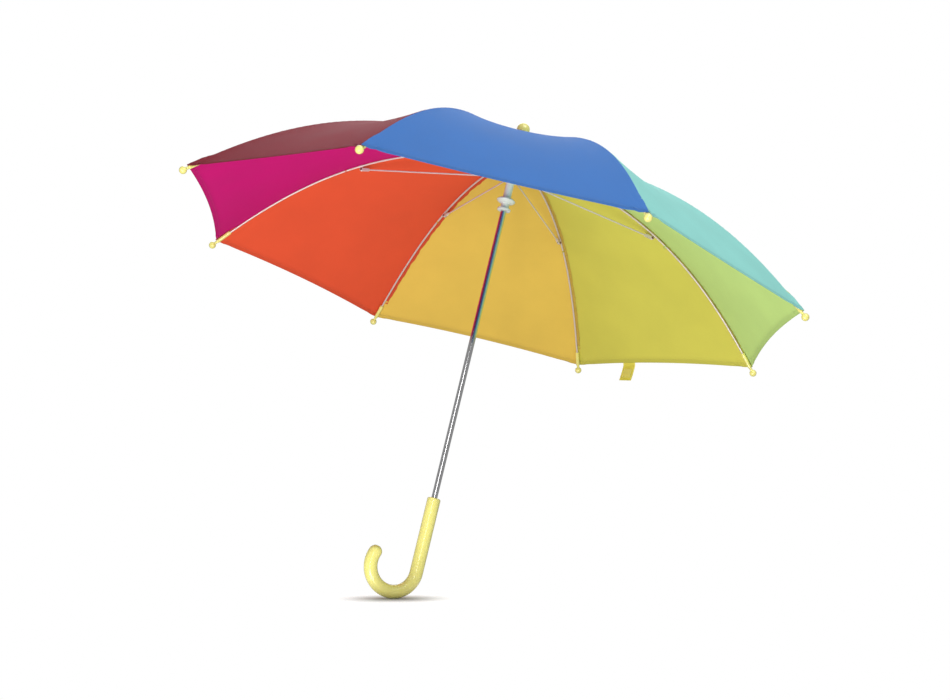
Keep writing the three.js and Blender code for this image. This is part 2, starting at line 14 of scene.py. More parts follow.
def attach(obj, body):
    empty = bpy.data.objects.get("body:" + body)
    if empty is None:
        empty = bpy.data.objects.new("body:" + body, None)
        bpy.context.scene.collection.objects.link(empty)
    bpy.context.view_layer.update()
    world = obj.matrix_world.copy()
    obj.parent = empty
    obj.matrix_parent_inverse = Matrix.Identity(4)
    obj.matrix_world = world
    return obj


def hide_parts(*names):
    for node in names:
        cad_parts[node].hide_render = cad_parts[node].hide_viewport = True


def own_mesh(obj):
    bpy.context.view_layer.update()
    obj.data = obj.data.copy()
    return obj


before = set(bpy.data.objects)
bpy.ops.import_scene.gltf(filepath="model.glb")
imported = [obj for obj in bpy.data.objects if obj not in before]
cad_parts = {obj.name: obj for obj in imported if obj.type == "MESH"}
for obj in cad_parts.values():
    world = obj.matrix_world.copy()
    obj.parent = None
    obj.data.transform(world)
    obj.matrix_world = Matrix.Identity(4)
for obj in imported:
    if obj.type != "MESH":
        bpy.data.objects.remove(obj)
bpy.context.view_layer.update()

Array = np.ndarray
MM = 0.001
TURN = 2 * np.pi
RIB_LETTERS = "abcdefgh"
# The six faces of a stitch, a block of eight points: four below, then four above.
STITCH_FACES = np.array([[0, 3, 2, 1], [4, 5, 6, 7], [0, 1, 5, 4], [1, 2, 6, 5], [2, 3, 7, 6], [3, 0, 4, 7]])
log = logging.getLogger("umbrella")


# ---------------------------------------------------------------- numbers and surfaces


def smooth(low: float, high: float, value: Array) -> Array:
    """Rises from 0 at low to 1 at high, level at both ends: 3x^2 - 2x^3 of the clipped share."""
    share = np.clip((np.asarray(value, float) - low) / (high - low), 0, 1)
    return share * share * (3 - 2 * share)


def unit(vectors: Array) -> Array:
    """Scales vectors along the last axis to length 1."""
    return vectors / np.linalg.norm(vectors, axis=-1, keepdims=True)


def azimuth_of(rib: float) -> float:
    """The angle of a rib about the shaft in radians; ribs go clockwise seen from above."""
    return -rib * TURN / 8


def turn_z(points: Array, angle: float) -> Array:
    """Turns points about the Z axis.

    Args:
        points: an array whose last axis is x, y, z.
        angle: radians, anticlockwise seen from above.

    Returns:
        The turned points: x' = x cos - y sin, y' = x sin + y cos.
    """
    c, s = np.cos(angle), np.sin(angle)
    return points @ np.array([[c, s, 0.0], [-s, c, 0.0], [0.0, 0.0, 1.0]])


def arc(radius: float, centre: tuple[float, float], start: float, end: float, count: int) -> Array:
    """Points of a circular arc in a profile, as [radius, height] rows, angles in degrees."""
    angle = np.radians(np.linspace(start, end, count))
    return np.stack([centre[0] + radius * np.cos(angle), centre[1] + radius * np.sin(angle)], 1)


def rounded(corners: list[tuple[float, float, float]], steps: int = 5) -> Array:
    """A profile with each corner cut by a small curve.

    Each corner is replaced by a quadratic curve from a point before it to one after it, both
    at the corner's own cut length: (1-u)^2 a + 2u(1-u) c + u^2 b.

    Args:
        corners: rows of radius, height and cut length.
        steps: points on each curve.

    Returns:
        The profile as [radius, height] rows.
    """
    points = np.array(corners, float)
    out = []
    for i, (r, z, cut) in enumerate(points):
        here = np.array([r, z])
        if cut <= 0 or i in (0, len(points) - 1):
            out.append(here[None])
            continue
        before = here + unit(points[i - 1, :2] - here) * cut
        after = here + unit(points[i + 1, :2] - here) * cut
        u = np.linspace(0, 1, steps)[:, None]
        out.append((1 - u) ** 2 * before + 2 * u * (1 - u) * here + u**2 * after)
    return np.concatenate(out)


def turned(profile: Array, sides: int = 64) -> Array:
    """The surface of a turned piece about Z: x = r cos a, y = r sin a, z = height."""
    angle = np.arange(sides) * TURN / sides
    r, z = profile[:, :1], profile[:, 1:2]
    return np.stack([r * np.cos(angle), r * np.sin(angle), z + 0 * angle], -1)


def swept(path: Array, across: Array, radius: Array | float, sides: int = 16) -> Array:
    """A round bar along a path.

    Each ring is centre + r (cos a * across + sin a * (along x across)), and the rows at both
    ends shrink to their centres, so the bar is closed.

    Args:
        path: the centre line, n rows of x, y, z.
        across: a unit vector square to the path at each point, or one for the whole path.
        radius: one radius, or one for each point.
        sides: points round the bar.

    Returns:
        A grid of n + 2 rows and as many columns as sides.
    """
    along = unit(np.gradient(path, axis=0))
    side = np.broadcast_to(across, path.shape)
    side = unit(side - (side * along).sum(1, keepdims=True) * along)
    other = np.cross(along, side)
    angle = np.arange(sides) * TURN / sides
    r = np.broadcast_to(np.asarray(radius, float), (len(path),))[:, None, None]
    ring = np.cos(angle)[None, :, None] * side[:, None] + np.sin(angle)[None, :, None] * other[:, None]
    grid = path[:, None] + r * ring
    ends = [np.broadcast_to(path[i], grid[0].shape)[None] for i in (0, -1)]
    return np.concatenate([ends[0], grid, ends[1]])


def flat_bar(path: Array, across: Array, width: float, depth: float, sides: int = 16) -> Array:
    """A bar of rounded oblong section along a path, width across and depth square to it.

    The section is a superellipse of power 5: w/2 sign(cos)|cos|^0.4, d/2 sign(sin)|sin|^0.4.

    Args:
        path: the centre line, n rows of x, y, z.
        across: a direction across the bar.
        width: size along across.
        depth: size square to across.
        sides: points round the bar.

    Returns:
        A closed grid of n + 2 rows.
    """
    along = unit(np.gradient(path, axis=0))
    side = np.broadcast_to(across, path.shape)
    side = unit(side - (side * along).sum(1, keepdims=True) * along)
    other = np.cross(along, side)
    angle = np.arange(sides) * TURN / sides
    c = np.sign(np.cos(angle)) * np.abs(np.cos(angle)) ** 0.4
    s = np.sign(np.sin(angle)) * np.abs(np.sin(angle)) ** 0.4
    ring = width / 2 * c[None, :, None] * side[:, None] + depth / 2 * s[None, :, None] * other[:, None]
    grid = path[:, None] + ring
    ends = [np.broadcast_to(path[i], grid[0].shape)[None] for i in (0, -1)]
    return np.concatenate([ends[0], grid, ends[1]])


def eye_plate(centre: Array, radius: float, hole: float, thickness: float, offset: float = 0.0) -> Array:
    """A small round plate with a hole, lying across Y: a rounded oblong turned about that axis.

    Args:
        centre: the hole's centre, x, y, z.
        radius: outer radius.
        hole: radius of the hole.
        thickness: size along Y.
        offset: shift of the plate's middle along Y.

    Returns:
        A grid that closes on itself both ways.
    """
    half, cut = thickness / 2, min(thickness, radius - hole) * 0.3
    corners = [(hole, half), (radius, half), (radius, -half), (hole, -half)]
    inward = [(cut, 0), (-cut, 0), (-cut, 0), (cut, 0)]
    rows = []
    for (r, y), (dr, _) in zip(corners, inward):
        dy = -np.sign(y) * cut
        rows += [(r, y + dy), (r + dr, y)] if len(rows) % 4 == 0 else [(r + dr, y), (r, y + dy)]
    profile = np.array(rows)
    angle = np.arange(24) * TURN / 24
    r, y = profile[:, :1], profile[:, 1:2] + offset
    grid = np.stack([r * np.cos(angle), y + 0 * angle, r * np.sin(angle)], -1)
    return grid + np.asarray(centre, float)


@dataclass
class Skin:
    """Grids of points gathered into one mesh, each with its own place in the list of finishes."""

    points: list[Array] = field(default_factory=list)
    faces: list[Array] = field(default_factory=list)
    finishes: list[Array] = field(default_factory=list)
    lay: list[Array] = field(default_factory=list)
    count: int = 0

    def add(self, grid: Array, ring: bool = True, tube: bool = False, finish: int = 0,
            lay: Array | None = None, flip: bool = False) -> "Skin":
        """Adds a grid of points as quads.

        Args:
            grid: rows, columns, 3, in millimetres.
            ring: whether the last column joins the first.
            tube: whether the last row joins the first.
            finish: index of its finish.
            lay: for cloth, rows, columns, 3: millimetres along, across, and the hem's share, which also
                carries painted shade at the hem's very edge.
            flip: whether to turn the faces round.

        Returns:
            The skin, so that calls can follow one another.
        """
        rows, columns = grid.shape[:2]
        index = np.arange(rows * columns).reshape(rows, columns)
        index = np.concatenate([index, index[:, :1]], 1) if ring else index
        index = np.concatenate([index, index[:1]], 0) if tube else index
        quads = np.stack([index[:-1, :-1], index[1:, :-1], index[1:, 1:], index[:-1, 1:]], -1)
        quads = quads.reshape(-1, 4)
        return self.raw(grid.reshape(-1, 3), quads[:, ::-1] if flip else quads, finish,
                        None if lay is None else lay.reshape(-1, 3))

    def raw(self, points: Array, quads: Array, finish: int = 0, lay: Array | None = None) -> "Skin":
        """Adds loose points and the quads that join them.

        Args:
            points: rows of x, y, z in millimetres.
            quads: rows of four indices into the points.
            finish: index of its finish.
            lay: for cloth, a row for each point.

        Returns:
            The skin.
        """
        self.points.append(points)
        self.faces.append(quads + self.count)
        self.finishes.append(np.full(len(quads), finish))
        self.lay.append(np.zeros_like(points) if lay is None else lay)
        self.count += len(points)
        return self

    def build(self, name: str, materials: list[bpy.types.Material], weld: bool = True,
              sharp: float = 40.0) -> bpy.types.Object:
        """Makes the object, in metres.

        Args:
            name: the piece's name.
            materials: the finishes, in the order of their places.
            weld: whether doubled points are joined and the closed shells turned outwards.
            sharp: the angle in degrees past which an edge stays sharp.

        Returns:
            The new object, linked to the scene.
        """
        points = np.concatenate(self.points) * MM
        quads = np.concatenate(self.faces)
        mesh = bpy.data.meshes.new(name)
        mesh.from_pydata(points, [], quads.tolist())
        mesh.polygons.foreach_set("material_index", np.concatenate(self.finishes).astype(np.int32))
        layer = mesh.attributes.new("lay", "FLOAT_VECTOR", "POINT")
        layer.data.foreach_set("vector", np.concatenate(self.lay).astype(np.float32).ravel())
        for material in materials:
            mesh.materials.append(material)
        if weld:
            made = bmesh.new()
            made.from_mesh(mesh)
            bmesh.ops.remove_doubles(made, verts=made.verts, dist=2e-6)
            bmesh.ops.recalc_face_normals(made, faces=made.faces)
            made.to_mesh(mesh)
            made.free()
        mesh.shade_smooth()
        mesh.set_sharp_from_angle(angle=np.radians(sharp))
        mesh.update()
        piece = bpy.data.objects.new(name, mesh)
        bpy.context.collection.objects.link(piece)
        return piece


# ---------------------------------------------------------------- finishes


@dataclass(frozen=True)
class Flow:
    """A number flowing through a material: one output socket that Python's operators combine."""

    recipe: "Recipe"
    socket: bpy.types.NodeSocket

    def _math(self, operation: str, first: Any, second: Any = None) -> "Flow":
        """Adds a Math node over one or two values and gives its result."""
        sockets = {0: first} if second is None else {0: first, 1: second}
        return self.recipe.node("ShaderNodeMath", {"operation": operation}, sockets)

    def __add__(self, other: Any) -> "Flow":
        """self + other"""
        return self._math("ADD", self, other)

    def __radd__(self, other: Any) -> "Flow":
        """other + self"""
        return self._math("ADD", other, self)

    def __sub__(self, other: Any) -> "Flow":
        """self - other"""
        return self._math("SUBTRACT", self, other)

    def __rsub__(self, other: Any) -> "Flow":
        """other - self"""
        return self._math("SUBTRACT", other, self)

    def __mul__(self, other: Any) -> "Flow":
        """self * other"""
        return self._math("MULTIPLY", self, other)

    def __rmul__(self, other: Any) -> "Flow":
        """other * self"""
        return self._math("MULTIPLY", other, self)

    def __gt__(self, other: Any) -> "Flow":
        """1 where self is more than other, else 0"""
        return self._math("GREATER_THAN", self, other)

    def sine(self) -> "Flow":
        """The sine of the value, in radians."""
        return self._math("SINE", self)


class Recipe:
    """One material and its node tree, around a Principled shader."""

    def __init__(self, name: str) -> None:
        """Starts an empty material with a shader and an output."""
        self.material = bpy.data.materials.new(name)
        self.material.use_nodes = True
        self.tree = self.material.node_tree
        self.shader = self.tree.nodes["Principled BSDF"]

    def node(self, kind: str, settings: dict[str, Any] | None = None,
             sockets: dict[Any, Any] | None = None, out: Any = 0) -> Flow:
        """Adds any node.

        Args:
            kind: the node's type.
            settings: properties set first; "stops" gives a ramp's positions and colours.
            sockets: values or flows by socket name or index.
            out: the output wanted.

        Returns:
            The output as a flow.
        """
        made = self.tree.nodes.new(kind)
        for key, value in (settings or {}).items():
            if key == "stops":
                while len(made.color_ramp.elements) < len(value):
                    made.color_ramp.elements.new(0.5)
                for element, (place, colour) in zip(made.color_ramp.elements, value):
                    element.position, element.color = place, colour
            else:
                setattr(made, key, value)
        for key, value in (sockets or {}).items():
            self.feed(made.inputs[key], value)
        return Flow(self, made.outputs[out])

    def feed(self, socket: bpy.types.NodeSocket, value: Any) -> None:
        """Links a flow to a socket, or sets the socket's own value."""
        if isinstance(value, Flow):
            self.tree.links.new(value.socket, socket)
        else:
            socket.default_value = value

    def surface(self, **values: Any) -> None:
        """Feeds the shader's sockets; underscores stand for spaces in their names."""
        for name, value in values.items():
            self.feed(self.shader.inputs[name.replace("_", " ")], value)

    def place(self) -> Flow:
        """Object coordinates, in metres."""
        return self.node("ShaderNodeTexCoord", out="Object")

    def noise(self, scale: float, detail: float = 3.0, where: Flow | None = None) -> Flow:
        """A cloudy value from 0 to 1 at a scale in features per metre."""
        return self.node("ShaderNodeTexNoise", None, {
            "Vector": where or self.place(), "Scale": scale, "Detail": detail,
        })

    def blend(self, share: Any, low: Any, high: Any) -> Flow:
        """A colour that goes from low to high as share goes from 0 to 1."""
        return self.node("ShaderNodeMix", {"data_type": "RGBA"},
                         {0: share, 6: low, 7: high}, out=2)

    def relief(self, height: Flow, depth: float, strength: float = 1.0) -> Flow:
        """A bump from a height of 0 to 1 over a depth in metres."""
        return self.node("ShaderNodeBump", None,
                         {"Height": height, "Distance": depth, "Strength": strength})


def shade(colour: tuple[float, float, float], by: float) -> tuple[float, float, float, float]:
    """A colour made lighter or darker by a factor, with full alpha."""
    return tuple(float(np.clip(c * by, 0, 1)) for c in colour) + (1.0,)


@dataclass(frozen=True)
class PlainWeave:
    """Thin polyester in plain weave: threads run along and across the cloth."""

    colour: tuple[float, float, float]
    thread: float = 0.55
    depth: float = 0.00006
    # the darker share of colour for the doubled hem, which also carries the painted shade at the hem's very
    # edge
    doubled: float = 0.72

    def make(self, name: str) -> bpy.types.Material:
        """Makes the cloth: crossed threads, a soft cloudiness, a darker doubled hem, and painted shade along
        the hem's very edge.

        Args:
            name: the material's name.

        Returns:
            The material.
        """
        cloth = Recipe(name)
        lay = cloth.node("ShaderNodeAttribute", {"attribute_name": "lay"}, out="Vector")
        split = cloth.node("ShaderNodeSeparateXYZ", None, {0: lay})
        along = split
        across = Flow(cloth, split.socket.node.outputs[1])
        hem = Flow(cloth, split.socket.node.outputs[2])
        warp = (along * (TURN / self.thread)).sine()
        weft = (across * (TURN / self.thread)).sine()
        threads = 0.5 + warp * weft * 0.5
        cloudy = cloth.noise(14.0, 4.0)
        base = cloth.blend(cloudy, shade(self.colour, 0.9), shade(self.colour, 1.1))
        woven = cloth.blend(threads * 0.25, base, shade(self.colour, 0.8))
        # darker over the doubled hem, and darker still in the last 1.4 mm at its edge, where shade is painted
        colour = cloth.blend(hem, woven, shade(self.colour, self.doubled))
        rough = 0.62 + cloudy * 0.14
        cloth.surface(Base_Color=colour, Roughness=rough, Specular_IOR_Level=0.18,
                      Normal=cloth.relief(threads + cloudy * 0.6, self.depth, 0.6))
        return cloth.material


@dataclass(frozen=True)
class Thread:
    """Sewing thread, twisted."""

    colour: tuple[float, float, float]

    def make(self, name: str) -> bpy.types.Material:
        """Makes the thread: a fine twist in colour and height.

        Args:
            name: the material's name.

        Returns:
            The material.
        """
        thread = Recipe(name)
        twist = thread.noise(3000.0, 1.0)
        thread.surface(Base_Color=thread.blend(twist, shade(self.colour, 0.8), shade(self.colour, 1.15)),
                       Roughness=0.6, Normal=thread.relief(twist, 0.00005))
        return thread.material


@dataclass(frozen=True)
class MouldedPlastic:
    """Moulded plastic: faint flow marks, a little skin gloss, fine scuffs."""

    colour: tuple[float, float, float]
    gloss: float = 0.16
    milky: float = 0.15

    def make(self, name: str) -> bpy.types.Material:
        """Makes the plastic: cloudy depth of colour, scuffs that dull it, a soft skin.

        Args:
            name: the material's name.

        Returns:
            The material.
        """
        plastic = Recipe(name)
        cloudy = plastic.noise(30.0, 3.0)
        scuffs = plastic.noise(420.0, 6.0)
        dull = (scuffs > 0.64) * 0.1
        plastic.surface(
            Base_Color=plastic.blend(cloudy, shade(self.colour, 0.95), shade(self.colour, 1.05)),
            Roughness=self.gloss + dull + cloudy * 0.06,
            Subsurface_Weight=self.milky,
            Subsurface_Radius=(0.004, 0.0036, 0.002),
            Coat_Weight=0.5,
            Coat_Roughness=0.06,
            Normal=plastic.relief(plastic.noise(180.0, 4.0), 0.00006, 0.3),
        )
        return plastic.material


@dataclass(frozen=True)
class Metal:
    """Bare, plated or painted metal."""

    colour: tuple[float, float, float]
    gloss: float
    metallic: float
    grain: float = 0.05
    worn: float = 0.0
    depth: float = 0.00003

    def make(self, name: str) -> bpy.types.Material:
        """Makes the metal: drawn lines along the piece, and worn spots where it is painted.

        Args:
            name: the material's name.

        Returns:
            The material.
        """
        metal = Recipe(name)
        where = metal.node("ShaderNodeMapping", None, {0: metal.place(), 3: (900.0, 900.0, 12.0)})
        lines = metal.noise(1.0, 3.0, where)
        spots = metal.noise(160.0, 5.0)
        worn = (spots > 0.72) * self.worn
        metal.surface(
            Base_Color=metal.blend(worn, metal.blend(lines, shade(self.colour, 0.93),
                                                     shade(self.colour, 1.04)), (0.3, 0.3, 0.3, 1)),
            Metallic=self.metallic + worn * (1 - self.metallic),
            Roughness=self.gloss + lines * self.grain,
            Normal=metal.relief(lines, self.depth, 0.3),
        )
        return metal.material


class Finish(Enum):
    """The finishes that are not the colour of one panel."""

    CHROME = Metal((0.70, 0.70, 0.71), 0.06, 1.0, 0.02, 0.0, 0.000004)
    # pale plated steel whose warm pink tint is a painted reflection of the cloth around the frame
    PLATED_STEEL = Metal((0.72, 0.63, 0.59), 0.32, 0.35, 0.1, 0.3)
    RIVET = Metal((0.20, 0.07, 0.06), 0.35, 0.3, 0.1)
    WIRE = Metal((0.55, 0.56, 0.58), 0.3, 1.0, 0.15)
    YELLOW = MouldedPlastic((0.82, 0.75, 0.225))
    MILKY = MouldedPlastic((0.66, 0.69, 0.64), 0.32, 0.3)
    STRAP = PlainWeave((0.70, 0.63, 0.085), 0.9, 0.00012)
    PATCH = PlainWeave((0.72, 0.66, 0.16), 1.3, 0.0003)
    STRAP_THREAD = Thread((0.80, 0.74, 0.28))


class Panel(Enum):
    """The eight panels in order from rib a, with the colour of each cloth."""

    MAGENTA = (0.69, 0.003, 0.20)
    ORANGE_RED = (0.78, 0.088, 0.032)
    AMBER = (0.75, 0.50, 0.083)
    OLIVE_LEMON = (0.62, 0.575, 0.087)
    LIME = (0.56, 0.78, 0.24)
    AQUA = (0.28, 0.67, 0.62)
    BLUE = (0.050, 0.175, 0.50)
    MAROON = (0.25, 0.020, 0.035)


class Finishes:
    """Makes each finish once and hands it out."""

    def __init__(self) -> None:
        """Starts with nothing made."""
        self.made: dict[Any, bpy.types.Material] = {}

    def __getitem__(self, key: Finish | Panel | tuple[Panel, str]) -> bpy.types.Material:
        """The material of a finish, of a panel's cloth, or of a panel's thread.

        Args:
            key: a finish, a panel, or a panel with the word thread.

        Returns:
            The material.
        """
        if key not in self.made:
            if isinstance(key, Finish):
                self.made[key] = key.value.make(key.name.lower())
            elif isinstance(key, Panel):
                self.made[key] = PlainWeave(key.value).make(f"cloth_{key.name.lower()}")
            else:
                colour = tuple(0.85 * c + 0.02 for c in key[0].value)
                self.made[key] = Thread(colour).make(f"thread_{key[0].name.lower()}")
        return self.made[key]


def dress(piece: bpy.types.Object, body: str, *nodes: str, slot: str = "",
          squash: "Fold | None" = None) -> bpy.types.Object:
    """Puts a piece on its body, hides the CAD nodes that it replaces and logs it.

    Args:
        piece: the new piece.
        body: the body that it rides on.
        nodes: the CAD nodes that it replaces.
        slot: the record's material slot; not used.
        squash: how it flattens as the umbrella closes, if it does; only whether it is given is read, and then
            the piece gets its own copy of its mesh.

    Returns:
        The piece.
    """
    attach(piece, body)
    if squash:
        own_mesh(piece)
    if nodes:
        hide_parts(*nodes)
    log.info("%s rides on %s, %d faces", piece.name, body, len(piece.data.polygons))
    return piece


@dataclass(frozen=True)
class Fold:
    """A flattening along an axis towards a point, in metres, down to a share of the thickness."""

    axis: tuple[float, float, float]
    anchor: tuple[float, float, float]
    keep: float


# ---------------------------------------------------------------- the rib's curve


@dataclass(frozen=True)
class RibLine:
    """The centre line of a rib in its own plane, [radius, height] in millimetres.

    A straight neck leaves the pivot, then a cubic curve runs to the centre of the tip ball.
    """

    pivot: tuple[float, float] = (8.0, 492.4)
    tip: tuple[float, float] = (440.0, 315.0)
    neck: float = 7.4
    start_slope: float = 3.35
    end_slope: float = 44.3
    start_pull: float = 214.8
    end_pull: float = 122.8
    rivet_place: float = 0.404
    lug_drop: float = 5.3

    def knots(self) -> Array:
        """The four control points of the cubic.

        Returns:
            Four rows of radius and height.
        """
        up, down = np.radians(self.start_slope), np.radians(self.end_slope)
        out = np.array([np.cos(up), np.sin(up)])
        back = np.array([-np.cos(down), np.sin(down)])
        first = np.array(self.pivot) + self.neck * out
        last = np.array(self.tip)
        return np.array([first, first + self.start_pull * out, last + self.end_pull * back, last])

    def at(self, t: Array) -> Array:
        """Points of the line: the cubic for t from 0 to 1, straight on below 0.

        Args:
            t: parameters of any shape.

        Returns:
            The same shape with radius and height last.
        """
        k = self.knots()
        t = np.asarray(t, float)[..., None]
        c = np.clip(t, 0, None)
        curve = (1 - c) ** 3 * k[0] + 3 * (1 - c) ** 2 * c * k[1] + 3 * (1 - c) * c**2 * k[2] + c**3 * k[3]
        return curve + np.clip(t, None, 0) * 3 * (k[1] - k[0])

    def along(self, t: Array) -> Array:
        """Unit directions of the line, outwards: the cubic's derivative scaled to length 1."""
        k = self.knots()
        c = np.clip(np.asarray(t, float), 0, None)[..., None]
        return unit((1 - c) ** 2 * (k[1] - k[0]) + 2 * (1 - c) * c * (k[2] - k[1]) + c**2 * (k[3] - k[2]))

    def root(self, radius: float) -> float:
        """The parameter of the straight neck at a radius."""
        k = self.knots()
        return float((radius - k[0, 0]) / (3 * (k[1, 0] - k[0, 0])))

    def length(self) -> Array:
        """A table of parameter and length along the line, for 400 points from the cloth's hole."""
        t = np.linspace(self.root(9.5), 1, 400)
        steps = np.linalg.norm(np.diff(self.at(t), axis=0), axis=1)
        return np.stack([t, np.r_[0, np.cumsum(steps)]], 1)

    def rivet(self) -> Array:
        """The rivet, below the line by the lug's drop."""
        d = self.along(self.rivet_place)
        return self.at(self.rivet_place) + self.lug_drop * np.array([d[1], -d[0]])

    def fold(self, rib: int, keep: float = 0.08) -> Fold:
        """How what lies on a rib flattens towards the straight line from its pivot to its tip.

        Args:
            rib: 0 to 7, from rib a.
            keep: the share of the thickness that is left.

        Returns:
            The flattening.
        """
        run = unit(np.array(self.tip) - np.array(self.pivot))
        angle = azimuth_of(rib)
        axis = turn_z(np.array([-run[1], 0.0, run[0]]), angle)
        anchor = turn_z(np.array([self.pivot[0], 0.0, self.pivot[1]]), angle) * MM
        return Fold(tuple(map(float, axis)), tuple(map(float, anchor)), keep)


def upright(plane: Array, y: Array | float = 0.0) -> Array:
    """Points of a rib's plane, [radius, height], as x, y, z."""
    return np.stack([plane[..., 0], np.broadcast_to(y, plane.shape[:-1]), plane[..., 1]], -1)


# ---------------------------------------------------------------- shaft, handle, crown and runner


@dataclass
class Shaft:
    """The chromed tube, with a slot for each spring catch on its -Y side."""

    finishes: Finishes
    radius: float = 4.0
    wall: float = 0.6
    bottom: float = -68.0
    top: float = 529.0
    slot_half: float = 1.1
    slots: tuple[tuple[float, float], ...] = ((435.0, 452.0), (24.65, 41.65))

    def tube(self) -> bpy.types.Object:
        """The tube: two nested cylinders joined at their ends and round each slot's edges.

        Returns:
            The piece, on its body.
        """
        edge = np.degrees(np.arcsin(self.slot_half / self.radius))
        round_the_back = np.linspace(-90 + edge, 270 - edge, 61)
        over_the_slot = np.linspace(270 - edge, 270 + edge, 4)[1:-1]
        angle = np.radians(np.r_[round_the_back, over_the_slot])
        ends = sorted(h for s in self.slots for h in s)
        height = np.unique(np.r_[np.linspace(self.bottom, self.top, 60), ends])

        def shell(radius: float) -> Array:
            """The points of one cylinder."""
            return np.stack([
                radius * np.cos(angle) + 0 * height[:, None],
                radius * np.sin(angle) + 0 * height[:, None],
                height[:, None] + 0 * angle,
            ], -1)

        rows, columns = len(height), len(angle)
        index = np.arange(rows * columns).reshape(rows, columns)
        ring = np.concatenate([index, index[:, :1]], 1)
        quads = np.stack([ring[:-1, :-1], ring[:-1, 1:], ring[1:, 1:], ring[1:, :-1]], -1)
        middle = (height[:-1] + height[1:]) / 2
        in_slot = np.any([(middle > low) & (middle < high) for low, high in self.slots], axis=0)
        kept = ~(in_slot[:, None] & (np.arange(columns) >= 60)[None, :])
        flat = quads[kept]
        edges = np.concatenate([flat[:, [i, (i + 1) % 4]] for i in range(4)])
        key = np.sort(edges, 1)
        _, where, uses = np.unique(key, axis=0, return_inverse=True, return_counts=True)
        rim = edges[uses[where.ravel()] == 1]
        total = rows * columns
        walls = np.stack([rim[:, 1], rim[:, 0], rim[:, 0] + total, rim[:, 1] + total], 1)
        points = np.concatenate([shell(r).reshape(-1, 3) for r in (self.radius, self.radius - self.wall)])
        skin = Skin().raw(points, np.concatenate([flat, flat[:, ::-1] + total, walls]))
        piece = skin.build("shaft_tube", [self.finishes[Finish.CHROME]])
        return dress(piece, "shaft_and_handle", "shaft", slot="shaft_chrome")


@dataclass
class HookHandle:
    """The moulded hook: a stem, a bend and a rounded end, with a faint parting line."""

    finishes: Finishes
    radius: float = 8.9
    rim: float = 3.9
    stem: float = 97.0
    bend: float = 32.5
    turn: float = 202.0
    bore: float = 4.3
    rim_round: float = 1.6
    seam_height: float = 0.14
    seam_width: float = 0.35

    def line(self) -> tuple[Array, Array]:
        """The centre line and its unit directions, down the stem and round the bend.

        Returns:
            Points and directions, one row each.
        """
        stem = np.linspace(self.rim - self.rim_round, -self.stem, 24)[:-1]
        angle = np.pi + np.radians(self.turn) * np.linspace(0, 1, 72)
        zero = 0 * stem
        straight = np.stack([zero, zero, stem], 1)
        curve = np.stack([
            self.bend * (1 + np.cos(angle)), 0 * angle, -self.stem + self.bend * np.sin(angle),
        ], 1)
        down = np.broadcast_to([0.0, 0.0, -1.0], straight.shape)
        round_ = np.stack([-np.sin(angle), 0 * angle, np.cos(angle)], 1)
        return np.concatenate([straight, curve]), np.concatenate([down, round_])

    def grip(self) -> bpy.types.Object:
        """The handle: circles along the line, a half ball at the end, a rounded rim and a bore.

        The radius has a ridge of exp(-(d / width)^2) where the two halves of the mould met.

        Returns:
            The piece, on its body.
        """
        path, along = self.line()
        fine = np.degrees(np.array([-1.5, -0.75, 0, 0.75, 1.5]) * self.seam_width / self.radius)
        broad = np.linspace(12, 168, 22)
        angle = np.radians(np.concatenate([fine, broad, 180 + fine, 180 + broad]))
        side = np.cross(np.broadcast_to([0.0, 1.0, 0.0], along.shape), along)
        other = np.broadcast_to([0.0, 1.0, 0.0], along.shape)
        off = np.abs(np.sin(angle)) * self.radius
        ridge = self.seam_height * np.exp(-((off / self.seam_width) ** 2))

        def circle(radius: Array) -> Array:
            """Rings round the line, each square to it."""
            across = np.cos(angle)[:, None] * side[:, None] * radius
            return across + np.sin(angle)[:, None] * other[:, None] * radius

        body = path[:, None] + circle((self.radius + ridge)[None, :, None])
        dome = np.radians(np.linspace(0, 90, 14))[1:]
        shrink = np.cos(dome)[:, None, None]
        last = circle((self.radius + ridge)[None, :, None])[-1][None] * shrink
        end = path[-1] + last + (self.radius * np.sin(dome))[:, None, None] * along[-1]
        rim = np.radians(np.linspace(90, 0, 7))[:-1]
        around = np.stack([np.cos(angle), np.sin(angle)], 1) @ np.array([[-1.0, 0], [0, 1.0]])
        lip_r = self.radius - self.rim_round * (1 - np.cos(rim))
        lip_z = self.rim - self.rim_round * (1 - np.sin(rim))
        lip = np.concatenate([
            lip_r[:, None, None] * around[None], np.broadcast_to(lip_z[:, None, None], (6, len(angle), 1)),
        ], -1)
        bore_z = self.rim + np.array([-60.0, -0.5, -0.15, 0.0])
        bore_r = np.array([self.bore, self.bore, self.bore + 0.15, self.bore + 0.5])
        bore = np.concatenate([
            bore_r[:, None, None] * around[None], np.broadcast_to(bore_z[:, None, None], (4, len(angle), 1)),
        ], -1)
        floor = np.broadcast_to([0.0, 0.0, self.rim - 60.0], (1, len(angle), 3))
        skin = Skin().add(np.concatenate([floor, bore, lip, body, end]))
        piece = skin.build("hook_handle", [self.finishes[Finish.YELLOW]], sharp=60)
        return dress(piece, "shaft_and_handle", "handle", slot="yellow_plastic")


